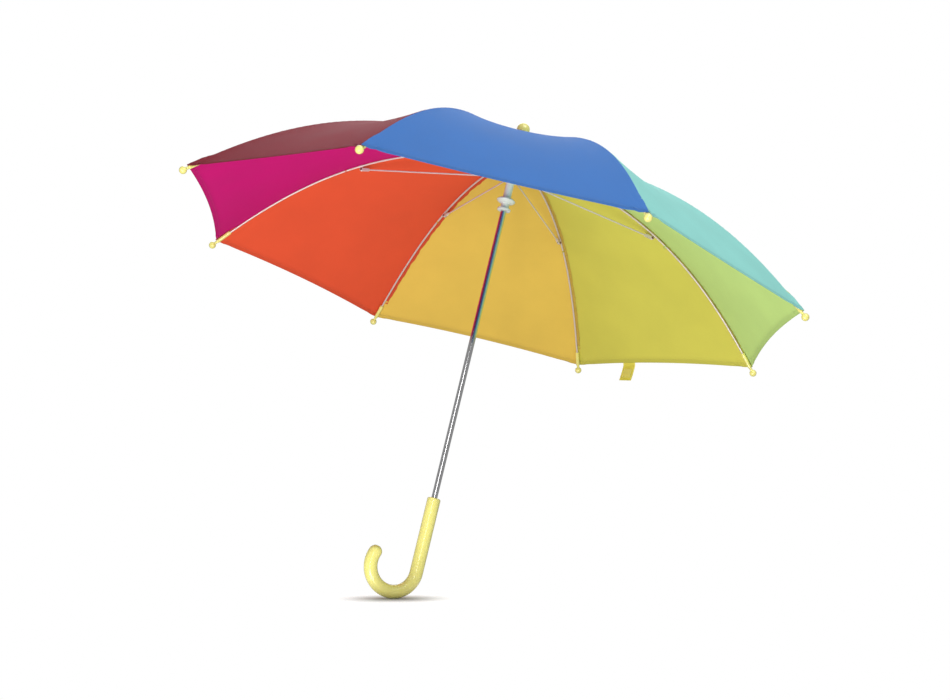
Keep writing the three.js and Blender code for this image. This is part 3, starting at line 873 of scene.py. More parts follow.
def notched(profile: Array, cuts: Array, count: int, width: float, first: float = 0.0) -> Array:
    """A turned surface with radial notches, closed along its profile.

    Where a row is cut, the radius inside a notch drops to the notch's floor, and the notch is
    as wide at every radius: half angle = asin(width / 2r).

    Args:
        profile: [radius, height] rows.
        cuts: for each row, the notch floor's radius, or nan where the row isn't cut.
        count: notches round the piece.
        width: width of a notch.
        first: azimuth of the first notch in radians.

    Returns:
        A grid of points, one row for each row of the profile.
    """
    pitch = TURN / count
    shares = np.array([0.0, 0.5, 0.999, 1.001])
    plain = np.linspace(0, 1, 7)[1:-1]
    radius, height = profile[:, 0], profile[:, 1]
    half = np.arcsin(width / 2 / np.maximum(radius, width))
    inside = half[:, None] * shares
    outside = half[:, None] + plain * (pitch - 2 * half)[:, None]
    back = pitch - half[:, None] * shares[:0:-1]
    angle = np.concatenate([inside, outside, back], 1)
    floor = np.where(np.isnan(cuts), radius, np.fmin(cuts, radius))
    low = np.concatenate([[1, 1, 1, 0], np.zeros(5), [0, 1, 1]]).astype(bool)
    r = np.where(low[None], floor[:, None], radius[:, None])
    slim = np.arcsin(np.minimum(width / 2 / r, 1)) / half[:, None]
    near = np.where(low[None] & (angle < pitch / 2), angle * slim, angle)
    near = np.where(low[None] & (angle > pitch / 2), pitch - (pitch - angle) * slim, near)
    turns = first + pitch * np.arange(count)
    full = (near[:, None, :] + turns[None, :, None]).reshape(len(radius), -1)
    r = np.tile(r, (1, count))
    return np.stack([r * np.cos(full), r * np.sin(full), np.broadcast_to(height[:, None], r.shape)], -1)


def ring_wire(radius: float, height: float) -> Array:
    """A wire bent into a ring, its end rising over its start: z = height + 1.1 smooth(angle).

    Args:
        radius: shaft axis to the wire's centre.
        height: height of the ring.

    Returns:
        A closed grid of points.
    """
    angle = np.linspace(0.3, TURN + 0.45, 90)
    rise = smooth(TURN, TURN + 0.4, angle) * 1.1
    path = np.stack([radius * np.cos(angle), radius * np.sin(angle), height + rise], 1)
    return swept(path, np.array([0.0, 0.0, 1.0]), 0.6, 10)


@dataclass
class Crown:
    """The notched crown that holds the rib roots, with the washer and ferrule above the cloth."""

    finishes: Finishes
    line: RibLine
    bore: float = 4.3
    head: float = 11.2
    above: float = 1.9
    below: float = 3.4
    collar: float = 6.2
    collar_length: float = 10.0
    notch: float = 2.4
    notch_floor: float = 5.5

    def notched_head(self) -> bpy.types.Object:
        """The crown: a turned profile with eight notches through its head.

        Returns:
            The piece, on its body.
        """
        z = self.line.pivot[1]
        low, high = z - self.below, z + self.above
        outline = rounded([
            (self.bore, low - self.collar_length, 0), (self.collar, low - self.collar_length, 0.6),
            (self.collar, low, 0.5), (self.head, low, 0.8), (self.head, high, 0.8),
            (9.1, high, 0.3), (9.0, z - 0.9, 0.3), (7.0, z - 0.9, 0.3), (6.9, high, 0.3),
            (self.bore, high, 0.0),
        ])
        cut = outline[:, 1] > low - 0.6
        cuts = np.where(cut, self.notch_floor, np.nan)
        grid = notched(outline, cuts, 8, self.notch)
        piece = Skin().add(grid, tube=True).build("crown_head", [self.finishes[Finish.MILKY]], sharp=35)
        return dress(piece, "shaft_and_handle", "crown", slot="clear_plastic")

    def wire(self) -> bpy.types.Object:
        """The wire through the rib eyes: a ring whose twisted ends lie between two ribs."""
        grid = ring_wire(*self.line.pivot)
        piece = Skin().add(grid).build("crown_ring_wire", [self.finishes[Finish.WIRE]])
        return dress(piece, "shaft_and_handle", "crown_wire", slot="spring_wire")

    def washer(self) -> bpy.types.Object:
        """The washer that holds the cloth down, slightly domed.

        Returns:
            The piece, on its body.
        """
        bottom, top = 497.55, 498.95
        outline = rounded([
            (4.3, bottom + 0.2, 0), (11.4, bottom, 0.5), (11.4, top - 0.4, 0.5),
            (8.0, top, 1.0), (4.3, top, 0),
        ])
        piece = Skin().add(turned(outline), tube=True).build(
            "canopy_washer_ring", [self.finishes[Finish.YELLOW]])
        return dress(piece, "shaft_and_handle", "canopy_washer", slot="yellow_plastic")

    def ferrule(self) -> bpy.types.Object:
        """The ferrule: a flanged cone that narrows to a waist under a ball.

        Returns:
            The piece, on its body.
        """
        ball, radius, waist = 537.1, 9.1, 5.8
        bottom = 499.3
        start = -np.degrees(np.arccos(waist / radius))
        cone = rounded([
            (4.3, bottom, 0), (10.0, bottom, 0.5), (10.0, bottom + 1.7, 0.6), (8.4, bottom + 3.2, 1.2),
            (6.7, bottom + 9.0, 2.5), (waist, ball + radius * np.sin(np.radians(start)) - 0.4, 0),
        ])
        outline = np.concatenate([
            [(0.0, 528.0), (4.3, 528.0)], cone, arc(radius, (0, ball), start + 3, 90, 22)])
        outline[-1, 0] = 0
        piece = Skin().add(turned(outline)).build("ferrule_ball", [self.finishes[Finish.YELLOW]])
        return dress(piece, "shaft_and_handle", "ferrule", slot="yellow_plastic")


@dataclass
class Runner:
    """The sliding runner: a flange for the fingers, a disc, a tube and a notched head."""

    finishes: Finishes
    pivot: float = 465.0
    pivot_radius: float = 8.5

    def tube(self) -> bpy.types.Object:
        """The runner's body, turned and notched; its profile closes on itself up the bore.

        Returns:
            The piece, on its body.
        """
        z = self.pivot
        flange, disc, head, top = z - 48.8, z - 35.7, z - 7.0, z + 4.4
        outline = rounded([
            (4.35, flange - 1.5, 0), (9.3, flange - 1.5, 0.9), (9.3, flange + 1.5, 0.9),
            (5.9, flange + 1.7, 1.2), (5.9, disc - 4.2, 1.0), (9.5, disc - 3.4, 1.5), (12.9, disc - 0.6, 1.2),
            (12.9, disc + 0.6, 1.2), (9.5, disc + 3.4, 1.5), (5.7, disc + 4.2, 1.0), (5.5, head - 3.0, 1.0),
            (11.2, head, 0.8), (11.2, top, 0.8), (9.5, top, 0.3), (9.4, z - 0.9, 0.3),
            (7.6, z - 0.9, 0.3), (7.5, top, 0.3), (4.35, top, 0),
        ])
        cut = (outline[:, 1] > z - 3.4) & (outline[:, 0] > 6.2)
        cuts = np.where(cut, 6.1, np.nan)
        grid = notched(outline, cuts, 8, 2.4)
        piece = Skin().add(grid, tube=True).build("runner_tube", [self.finishes[Finish.MILKY]], sharp=35)
        return dress(piece, "runner_body", "runner", slot="clear_plastic")

    def wire(self) -> bpy.types.Object:
        """The wire through the stretcher eyes, with its twisted ends between two of them."""
        grid = ring_wire(self.pivot_radius, self.pivot)
        piece = Skin().add(grid).build("runner_ring_wire", [self.finishes[Finish.WIRE]])
        return dress(piece, "runner_body", "runner_wire", slot="spring_wire")


# ---------------------------------------------------------------- ribs and stretchers


@dataclass
class RibSet:
    """One rib with its stretcher, rivet and tip cap, made in the XZ plane and turned to its place."""

    finishes: Finishes
    line: RibLine
    wire: float = 1.3
    arm_wire: float = 1.05
    eye: float = 2.2
    ball: float = 5.1

    def place(self, skin: Skin, rib: int) -> Skin:
        """Turns all of a skin's points to a rib's azimuth."""
        skin.points = [turn_z(p, azimuth_of(rib)) for p in skin.points]
        return skin

    def rib(self, rib: int) -> bpy.types.Object:
        """The rib: a flattened eye, a round wire along the curve and a lug at the rivet.

        Args:
            rib: 0 to 7, from rib a.

        Returns:
            The piece, on its body.
        """
        line, side = self.line, np.array([0.0, 1.0, 0.0])
        t = np.linspace(line.root(12.4), 1 - 11.6 / (3 * line.end_pull), 70)
        pivot = np.array([line.pivot[0], 0, line.pivot[1]])
        neck_t = np.linspace(line.root(9.6), line.root(16.0), 8)
        rivet = line.rivet()
        foot = line.at(line.rivet_place)
        share = np.linspace(0, 1, 6)[:, None]
        lug = upright(rivet + (foot - rivet) * (0.2 + 0.8 * share))
        clasp_t = line.rivet_place + np.linspace(-0.006, 0.006, 8)
        skin = Skin()
        skin.add(swept(upright(line.at(t)), side, self.wire, 14))
        skin.add(flat_bar(upright(line.at(neck_t)), side, 1.6, 2.3))
        skin.add(eye_plate(pivot, self.eye, 0.9, 1.6), tube=True)
        skin.add(eye_plate(upright(rivet), 2.5, 1.25, 1.4), tube=True)
        skin.add(flat_bar(lug, side, 1.4, 4.2))
        skin.add(swept(upright(line.at(clasp_t)), side, self.wire + 0.35, 14))
        piece = self.place(skin, rib).build(
            f"rib_wire_{RIB_LETTERS[rib]}", [self.finishes[Finish.PLATED_STEEL]])
        letter = RIB_LETTERS[rib]
        return dress(piece, f"rib_{letter}_body", f"rib_{letter}", slot="frame_steel",
                     squash=line.fold(rib))

    def arm_fold(self, rib: int) -> Fold:
        """How a stretcher draws in beside the straightened rib as the umbrella closes.

        The axis is the closed umbrella's outward direction seen from the stretcher at rest:
        it is turned back by the stretcher's own closing angle.

        Args:
            rib: 0 to 7, from rib a.

        Returns:
            The flattening.
        """
        angle = np.radians(78.79)
        axis = turn_z(np.array([np.cos(angle), 0.0, -np.sin(angle)]), azimuth_of(rib))
        anchor = turn_z(np.array([8.5, 0.0, 465.0]), azimuth_of(rib)) * MM
        return Fold(tuple(map(float, axis)), tuple(map(float, anchor)), 0.17)

    def stretcher(self, rib: int) -> bpy.types.Object:
        """The stretcher: an eye at the runner, a round wire and a fork with two cheeks.

        Args:
            rib: 0 to 7, from rib a.

        Returns:
            The piece, on its body.
        """
        side = np.array([0.0, 1.0, 0.0])
        rivet, pivot = self.line.rivet(), np.array([8.5, 465.0])
        length = np.linalg.norm(pivot - rivet)

        def at(distance: Array) -> Array:
            """Points of the stretcher's line at distances from the rivet."""
            return upright(rivet + (pivot - rivet) * (distance[:, None] / length))

        skin = Skin()
        skin.add(swept(at(np.linspace(9.5, length - 5.6, 40)), side, self.arm_wire, 14))
        skin.add(flat_bar(at(np.linspace(length - 1.8, length - 8.5, 6)), side, 1.6, 2.2))
        skin.add(eye_plate(upright(pivot), self.eye, 0.9, 1.6), tube=True)
        skin.add(flat_bar(at(np.linspace(8.5, 12.2, 6)), side, 3.6, 4.2))
        for sign in (-1, 1):
            shift = np.array([0.0, sign * 1.4, 0.0])
            skin.add(eye_plate(upright(rivet), 2.4, 1.25, 0.8, sign * 1.4), tube=True)
            skin.add(flat_bar(at(np.linspace(1.5, 9.5, 8)) + shift, side, 0.8, 4.0))
        letter = RIB_LETTERS[rib]
        piece = self.place(skin, rib).build(
            f"stretcher_wire_{letter}", [self.finishes[Finish.PLATED_STEEL]])
        return dress(piece, f"stretcher_{letter}_body", f"stretcher_{letter}", slot="frame_steel",
                     squash=self.arm_fold(rib))

    def rivet(self, rib: int) -> bpy.types.Object:
        """The rivet: a pin with a domed head on each side, turned about Y.

        Args:
            rib: 0 to 7, from rib a.

        Returns:
            The piece, on its body.
        """
        outline = np.concatenate([
            [(0.0, -3.0)], arc(1.8, (0, -2.1), -90, 0, 6) * [1, 0.5] + [0, -1.05],
            [(1.8, -2.1), (0.95, -2.05), (0.95, 2.05), (1.8, 2.1)],
            arc(1.8, (0, 2.1), 0, 90, 6) * [1, 0.5] + [0, 1.05], [(0.0, 3.0)],
        ])
        grid = turned(outline, 20)[..., [0, 2, 1]] + upright(self.line.rivet())
        letter = RIB_LETTERS[rib]
        piece = self.place(Skin().add(grid), rib).build(
            f"rivet_heads_{letter}", [self.finishes[Finish.RIVET]])
        return dress(piece, f"stretcher_{letter}_body", f"rivet_{letter}", slot="rivet_paint",
                     squash=self.arm_fold(rib))

    def tip(self, rib: int) -> bpy.types.Object:
        """The tip cap: a ball, a thin neck with a ring, and a sleeve that takes the rib's end.

        Args:
            rib: 0 to 7, from rib a.

        Returns:
            The piece, on its body.
        """
        neck = 1.9
        start = np.degrees(np.arccos(neck / self.ball))
        outline = np.concatenate([
            arc(self.ball, (0, 0), -90, start, 24),
            rounded([
                (neck, 5.4, 0), (neck, 6.6, 0.3), (2.3, 7.0, 0.2), (neck, 7.5, 0.3),
                (neck, 9.0, 0.4), (2.8, 9.4, 0.5), (2.8, 33.0, 0.5), (1.75, 33.0, 0.3), (1.75, 11.2, 0),
            ]),
            [(0.0, 11.2)],
        ])
        outline[0, 0] = 0
        down = np.radians(90 - self.line.end_slope)
        c, s = np.cos(-down), np.sin(-down)
        tilt = np.array([[c, 0.0, -s], [0.0, 1.0, 0.0], [s, 0.0, c]])
        grid = turned(outline, 32) @ tilt + upright(np.array(self.line.tip))
        letter = RIB_LETTERS[rib]
        piece = self.place(Skin().add(grid), rib).build(
            f"tip_cap_{letter}", [self.finishes[Finish.YELLOW]])
        return dress(piece, f"rib_{letter}_body", f"tip_{letter}", slot="yellow_plastic")

    def tie(self, rib: int) -> bpy.types.Object:
        """The tie: four turns of thread round the rib beside the lug, and two loose ends.

        The path is a helix about the rib's line, r = 1.4 mm.

        Args:
            rib: 0 to 7, from rib a.

        Returns:
            The piece, on its body.
        """
        line = self.line
        middle = line.at(line.rivet_place + 0.05)
        d = line.along(line.rivet_place + 0.05)
        normal = np.array([-d[1], d[0]])
        a = np.linspace(0, 4 * TURN, 90)
        off = np.linspace(-1.6, 1.6, 90)
        plane = middle + off[:, None] * d + (1.4 * np.cos(a))[:, None] * normal
        path = upright(plane, 1.4 * np.sin(a))
        tail_a = np.linspace(0, 1, 12)
        ends = []
        for sign in (-1, 1):
            drop = middle - normal * (1.4 + 4 * tail_a)[:, None] + d * (sign * 2.5 * tail_a**2)[:, None]
            ends.append(swept(upright(drop, sign * 1.2 * tail_a), np.array([0.0, 1.0, 0.0]), 0.22, 6))
        skin = Skin().add(swept(path, d[0] * np.array([1.0, 0, 0]) + d[1] * np.array([0, 0, 1.0]), 0.28, 6))
        for end in ends:
            skin.add(end)
        colour = list(Panel)[rib]
        letter = RIB_LETTERS[rib]
        piece = self.place(skin, rib).build(f"tie_thread_{letter}", [self.finishes[(colour, "thread")]])
        return dress(piece, f"rib_{letter}_body", slot="frame_steel", squash=line.fold(rib))


# ---------------------------------------------------------------- cloth


@dataclass
class Canopy:
    """The canopy: eight sewn panels, each in two halves that meet without a step at rest."""

    finishes: Finishes
    line: RibLine
    thickness: float = 0.28
    lift: float = 2.3
    corners: tuple[float, ...] = (0.9774, 0.9774, 0.9774, 0.9774, 0.9774, 0.9774, 0.985, 0.9774)
    scallops: tuple[float, ...] = (0.021, 0.021, 0.021, 0.021, 0.021, 0.021, 0.003, 0.021)
    panel: int = 0
    hem_sag: float = 2.7
    middle_sag: float = 8.3
    hem_width: float = 8.0
    sleeve: float = 2.8
    rows: int = 84
    rib_length: float = 470.0
    hem_rate: float = 368.0  # millimetres for each unit of the rib's parameter, near the hem

    def columns(self) -> Array:
        """Places across a half, 0 at the fold and 1 at the seam, closer together at the seam."""
        return np.r_[np.linspace(0, 0.9, 26), np.linspace(0.9, 1, 14)[1:]]

    def hem_at(self, across: Array) -> Array:
        """The rib parameter of the hem: it draws back between two ribs as 1 - across^2."""
        return self.corners[self.panel] - self.scallops[self.panel] * (1 - across**2)

    def cloth(self, t: Array, across: Array, above: Array | float) -> Array:
        """Points of a panel in its own frame, with the panel's middle along +X.

        The surface is the chord between two neighbouring rib points, sunk by a sag that fades
        as 1 - across^2, lifted on to the rib, raised over the tip's sleeve, drawn in along the
        seam, and puckered a little beside it.

        Args:
            t: rib parameter.
            across: -1 to 1 between the two ribs.
            above: millimetres above the cloth's middle.

        Returns:
            x, y, z in millimetres.
        """
        plane, d = self.line.at(t), self.line.along(t)
        half = np.pi / 8
        along = unit(np.stack([d[..., 0] * np.cos(half), d[..., 1]], -1))
        reach = plane[..., 0] / self.line.tip[0]
        sag = self.hem_sag * reach + (self.middle_sag - self.hem_sag / 2) * 4 * reach * (1 - reach)
        edge = (1 - np.abs(across)) * plane[..., 0] * np.sin(half)
        over = smooth(0.875, 0.905, t) * (self.sleeve - self.lift + 1.2) * np.exp(-((edge / 5.0) ** 2))
        seam = -0.35 * np.exp(-((edge / 1.6) ** 2)) * (1 - smooth(0.86, 0.9, t))
        millimetres = t * self.rib_length
        pucker = 0.3 * np.sin(millimetres * TURN / 11.0 + 1.7 * np.sin(millimetres / 31.0))
        pucker = pucker * np.exp(-(((edge - 5.0) / 5.0) ** 2)) * smooth(0.03, 0.12, t)
        corner = np.hypot((self.corners[self.panel] - t) * self.hem_rate, edge)
        ruck = 0.8 * np.sin(np.arctan2(edge, (self.corners[self.panel] - t) * self.hem_rate + 6.0) * 17.0)
        ruck = ruck * np.exp(-(((corner - 20.0) / 16.0) ** 2)) * smooth(4, 16, edge)
        out = self.lift + above + over + seam + pucker + ruck - sag * (1 - across**2)
        x = plane[..., 0] * np.cos(half) - out * along[..., 1]
        at_seam = self.lift + above + over + seam
        seam_y = (plane[..., 0] * np.cos(half) - at_seam * along[..., 1]) * np.tan(half)
        return np.stack([x, across * seam_y, plane[..., 1] + out * along[..., 0]], -1)

    def half(self, panel: int, side: int) -> bpy.types.Object:
        """Half of a panel: two skins a thread apart, closed at the edges, with its hem stitches.

        Args:
            panel: 0 to 7, from rib a.
            side: 1 towards the panel's first rib, -1 towards its second.

        Returns:
            The piece, riding on its half of the fold.
        """
        line = self.line
        self.panel = panel
        u = self.columns()
        hem_rows = np.array([0.9, 0.94, 0.965, 0.978, 0.983, 0.986, 0.99, 0.995, 1.0])
        v = np.r_[np.linspace(0, 0.88, self.rows), hem_rows]
        start = line.root(9.5)
        across = side * u[None, :] + 0 * v[:, None]
        t = start + (self.hem_at(across) - start) * v[:, None]
        table = line.length()
        along = np.interp(t, table[:, 0], table[:, 1])
        to_hem = np.interp(self.hem_at(across), table[:, 0], table[:, 1]) - along
        hem = 0.6 * (1 - smooth(self.hem_width - 0.5, self.hem_width + 0.5, to_hem))
        thick = self.thickness / 2 * (1 + 2.6 * hem)
        top = self.cloth(t, across, thick)
        under = self.cloth(t, across, -thick)
        width = np.abs(top[..., 1])
        # the third value is the hem's share: 0.6 over the doubled hem, plus up to 0.4 of painted shade in the
        # last 1.4 mm at its edge
        lay = np.stack([along, width, hem + 0.4 * (1 - smooth(0.2, 1.4, to_hem))], -1)
        grid = np.concatenate([top, under[:, ::-1]], 1)
        both = np.concatenate([lay, lay[:, ::-1]], 1)
        skin = Skin().add(grid, ring=True, lay=both, flip=side < 0)
        ends = [np.stack([top[i], under[i]]) for i in (0, -1)]
        lays = [np.stack([lay[i], lay[i]]) for i in (0, -1)]
        skin.add(ends[0], ring=False, lay=lays[0], flip=side < 0)
        skin.add(ends[1], ring=False, lay=lays[1], flip=side > 0)
        self.stitches(skin, side)
        first = RIB_LETTERS[panel]
        second = RIB_LETTERS[(panel + 1) % 8]
        near = first if side > 0 else second
        colour = list(Panel)[panel]
        middle = azimuth_of(panel + 0.5)
        skin.points = [turn_z(p, middle) for p in skin.points]
        materials = [self.finishes[colour], self.finishes[(colour, "thread")]]
        piece = skin.build(f"cloth_{first}{second}_{near}", materials, sharp=70)
        rib = panel if side > 0 else (panel + 1) % 8
        dress(piece, f"{first}{second}_{near}_half_body", f"panel_{first}{second}_{near}_half",
              slot=f"cloth_{colour.name.lower()}", squash=line.fold(rib))
        with_pieces = [self.allowance(panel)] if side > 0 and panel != 1 else []
        self.area(top)
        return piece

    @staticmethod
    def area(grid: Array) -> float:
        """The area of a grid in square metres: the sum of half the cross products of diagonals."""
        a = grid[1:, 1:] - grid[:-1, :-1]
        b = grid[1:, :-1] - grid[:-1, 1:]
        return float(np.linalg.norm(np.cross(a, b), axis=-1).sum() / 2 * MM * MM)

    def stitches(self, skin: Skin, side: int) -> None:
        """Adds a row of stitches along the hem on both faces of a half.

        Each stitch is a small flat lozenge of eight points, 2.1 mm long at a 3 mm pitch.

        Args:
            skin: the skin that takes them.
            side: 1 for the half at the panel's first rib, -1 for the other.
        """
        line = self.line
        table = line.length()
        count = 54
        share = (np.arange(count) + 0.5) / count
        middle = side * (0.012 + share * 0.965)
        step = 1.05 / 165.0
        for face in (-1, 1):
            ends = []
            for shift in (-step, step):
                across = middle + shift
                hem = self.hem_at(across)
                length = np.interp(hem, table[:, 0], table[:, 1]) - (self.hem_width - 1.6)
                t = np.interp(length, table[:, 1], table[:, 0])
                low = self.cloth(t, across, face * (self.thickness / 2 * 2.6 - 0.05))
                high = self.cloth(t, across, face * (self.thickness / 2 * 2.6 + 0.22))
                ends.append((low, high))
            run = unit(ends[1][0] - ends[0][0])
            rise = unit(ends[0][1] - ends[0][0])
            wide = np.cross(run, rise) * 0.28
            points = np.stack([
                ends[0][0] - wide, ends[0][0] + wide, ends[1][0] + wide, ends[1][0] - wide,
                ends[0][1] - wide * 0.6 + run * 0.3, ends[0][1] + wide * 0.6 + run * 0.3,
                ends[1][1] + wide * 0.6 - run * 0.3, ends[1][1] - wide * 0.6 - run * 0.3,
            ], 1)
            quads = (np.arange(count)[:, None, None] * 8 + STITCH_FACES).reshape(-1, 4)
            skin.raw(points.reshape(-1, 3), quads, 1)

    def allowance(self, rib: int) -> bpy.types.Object:
        """The seam allowance under a seam: the edge of one panel turned over on to the next.

        It is a strip 6 mm wide just under the cloth of the panel that starts at this rib, in the
        colour of the panel before, its free edge waving a little.

        Args:
            rib: 0 to 7, from rib a.

        Returns:
            The piece, on its body.
        """
        t = np.linspace(0.03, 0.9, 200)
        share = np.linspace(0.0, 1.0, 5)
        plane = self.line.at(t)
        half_width = plane[:, 0] * np.sin(np.pi / 8)
        wide = 6.4 + 0.5 * np.sin(t * 70.0) + 0.3 * np.sin(t * 163.0)
        wide = np.minimum(wide, half_width * 0.7)
        edge = 0.15 + share[None, :] * wide[:, None]
        across = 1 - edge / half_width[:, None]
        tt = np.broadcast_to(t[:, None], across.shape)
        droop = 0.35 * share[None, :] ** 2 * (1 + 0.6 * np.sin(t * 90.0))[:, None]
        top = self.cloth(tt, across, -self.thickness / 2 - 0.2 - droop)
        under = self.cloth(tt, across, -self.thickness / 2 - 0.42 - droop)
        lay = np.stack([tt * self.rib_length, edge + 0 * tt, 1 + 0 * tt], -1)
        grid = np.concatenate([top, under[:, ::-1]], 1)
        skin = Skin().add(grid, lay=np.concatenate([lay, lay[:, ::-1]], 1))
        for i in (0, -1):
            skin.add(np.stack([top[i], under[i]]), ring=False, lay=np.stack([lay[i], lay[i]]))
        skin.points = [turn_z(p, azimuth_of(rib + 0.5)) for p in skin.points]
        before = list(Panel)[(rib - 1) % 8]
        letter, following = RIB_LETTERS[rib], RIB_LETTERS[(rib + 1) % 8]
        piece = skin.build(f"seam_allowance_{letter}", [self.finishes[before]])
        return dress(piece, f"{letter}{following}_{letter}_half_body",
                     slot=f"cloth_{before.name.lower()}", squash=self.line.fold(rib))


@dataclass
class TieStrap:
    """The closing strap sewn to the hem of the fourth panel, with its hook-and-loop patch."""

    finishes: Finishes
    canopy: Canopy
    panel: int = 3
    place: float = 0.36
    width: float = 23.6
    thickness: float = 0.9
    hold: float = 14.0
    drop: float = 28.0

    def line(self) -> tuple[Array, Array, Array]:
        """The strap's middle line in the panel's frame, its unit side and outward directions.

        It lies on the cloth above the hem, turns over the hem's edge and hangs with a slight
        inward curve: x falls by the square of the share hung.

        Returns:
            Three arrays with a row for each point of the line.
        """
        canopy = self.canopy
        canopy.panel = self.panel
        hem = float(canopy.hem_at(np.array(self.place)))
        above = canopy.thickness * 1.3 + self.thickness / 2 + 0.15
        t = np.linspace(hem - self.hold / canopy.hem_rate, hem, 12)
        held = canopy.cloth(t, np.full(t.shape, self.place), above)
        end = held[-1]
        over = unit(held[-1] - held[-2])
        bend = end + over * 1.2
        share = np.linspace(0, 1, 26)[1:]
        hang = np.stack([
            bend[0] + 1.4 * smooth(0, 0.12, share) - 2.6 * share**2,
            np.full_like(share, end[1]),
            bend[2] - 0.4 - self.drop * share,
        ], 1)
        path = np.concatenate([held, bend[None], hang])
        along = unit(np.gradient(path, axis=0))
        side = np.broadcast_to([0.0, 1.0, 0.0], path.shape)
        side = unit(side - (side * along).sum(1, keepdims=True) * along)
        return path, side, unit(np.cross(along, side))

    def ribbon(self, path: Array, side: Array, out: Array, width: float, thick: float,
               shift: float) -> tuple[Array, Array]:
        """A flat ribbon round a line: a rounded oblong section, its width along side.

        Args:
            path: its line.
            side: unit directions of its width.
            out: unit directions of its face.
            width: its width.
            thick: its thickness.
            shift: how far it stands off the line along out.

        Returns:
            Its grid and the grid's lay.
        """
        share = np.linspace(-1, 1, 15)
        edge = thick / 2 * np.sqrt(np.clip(1 - np.abs(share) ** 14, 0, 1))
        across = share * width / 2
        base = path + out * shift
        spread = base[:, None] + across[None, :, None] * side[:, None]
        top = spread + edge[None, :, None] * out[:, None]
        under = spread - edge[None, :, None] * out[:, None]
        grid = np.concatenate([top, under[:, -2:0:-1]], 1)
        ends = [np.broadcast_to(base[i], grid[0].shape)[None] for i in (0, -1)]
        length = np.r_[0, np.cumsum(np.linalg.norm(np.diff(path, axis=0), axis=1))]
        spot = np.concatenate([across, across[-2:0:-1]])
        lay = np.stack(np.broadcast_arrays(length[:, None], spot[None, :], 0.0), -1)
        lay = np.concatenate([lay[:1], lay, lay[-1:]])
        return np.concatenate([ends[0], grid, ends[1]]), lay

    def build(self) -> list[bpy.types.Object]:
        """The strap and its patch, riding with the panel's half next to rib d.

        Returns:
            The strap and the patch.
        """
        path, side, out = self.line()
        grid, lay = self.ribbon(path, side, out, self.width, self.thickness, 0.0)
        skin = Skin().add(grid, lay=lay)
        for face in (-1, 1):
            self.stitch(skin, path, side, out * face, self.thickness / 2)
        middle = azimuth_of(self.panel + 0.5)
        skin.points = [turn_z(p, middle) for p in skin.points]
        strap = skin.build("tie_strap_web", [self.finishes[Finish.STRAP], self.finishes[Finish.STRAP_THREAD]])
        body = "de_d_half_body"
        fold = self.canopy.line.fold(self.panel)
        dress(strap, body, "tie_strap", slot="strap_cloth", squash=fold)
        self.width * MM
        low = [rows[-18:-4] for rows in (path, side, -out)]
        pad, pad_lay = self.ribbon(*low, 15.6, 0.9, self.thickness / 2 + 0.35)
        patch_skin = Skin().add(pad, lay=pad_lay)
        self.stitch(patch_skin, *low, self.thickness / 2 + 0.8, 6.9)
        patch_skin.points = [turn_z(p, middle) for p in patch_skin.points]
        materials = [self.finishes[Finish.PATCH], self.finishes[Finish.STRAP_THREAD]]
        patch = patch_skin.build("strap_patch", materials)
        dress(patch, body, "strap_fastener", slot="fastener_patch", squash=fold)
        return [strap, patch]

    def stitch(self, skin: Skin, path: Array, side: Array, out: Array, height: float,
               half: float = 10.4) -> None:
        """Adds two rows of stitches along a ribbon, near its edges, as small lozenges.

        Args:
            skin: the skin that takes them.
            path: the ribbon's line.
            side: unit directions of its width.
            out: unit directions of the face.
            height: how far the stitches stand off the line.
            half: the rows' distance from the middle.
        """
        length = np.r_[0, np.cumsum(np.linalg.norm(np.diff(path, axis=0), axis=1))]
        places = np.arange(1.2, length[-1] - 1.2, 2.4)

        def pick(where: Array, rows: Array) -> Array:
            """Rows read off at lengths along the ribbon."""
            return np.stack([np.interp(where, length, rows[:, i]) for i in range(3)], 1)

        for sign in (-1, 1):
            ends = [pick(places + shift, path + sign * half * side + out * height)
                    for shift in (-0.85, 0.85)]
            rise = pick(places, out) * 0.2
            wide = pick(places, side) * 0.3
            points = np.stack([
                ends[0] - wide - rise, ends[0] + wide - rise, ends[1] + wide - rise, ends[1] - wide - rise,
                ends[0] - wide * 0.6 + rise, ends[0] + wide * 0.6 + rise,
                ends[1] + wide * 0.6 + rise, ends[1] - wide * 0.6 + rise,
            ], 1)
            quads = (np.arange(len(places))[:, None, None] * 8 + STITCH_FACES).reshape(-1, 4)
            skin.raw(points.reshape(-1, 3), quads, 1)


# ---------------------------------------------------------------- floor, lights and camera


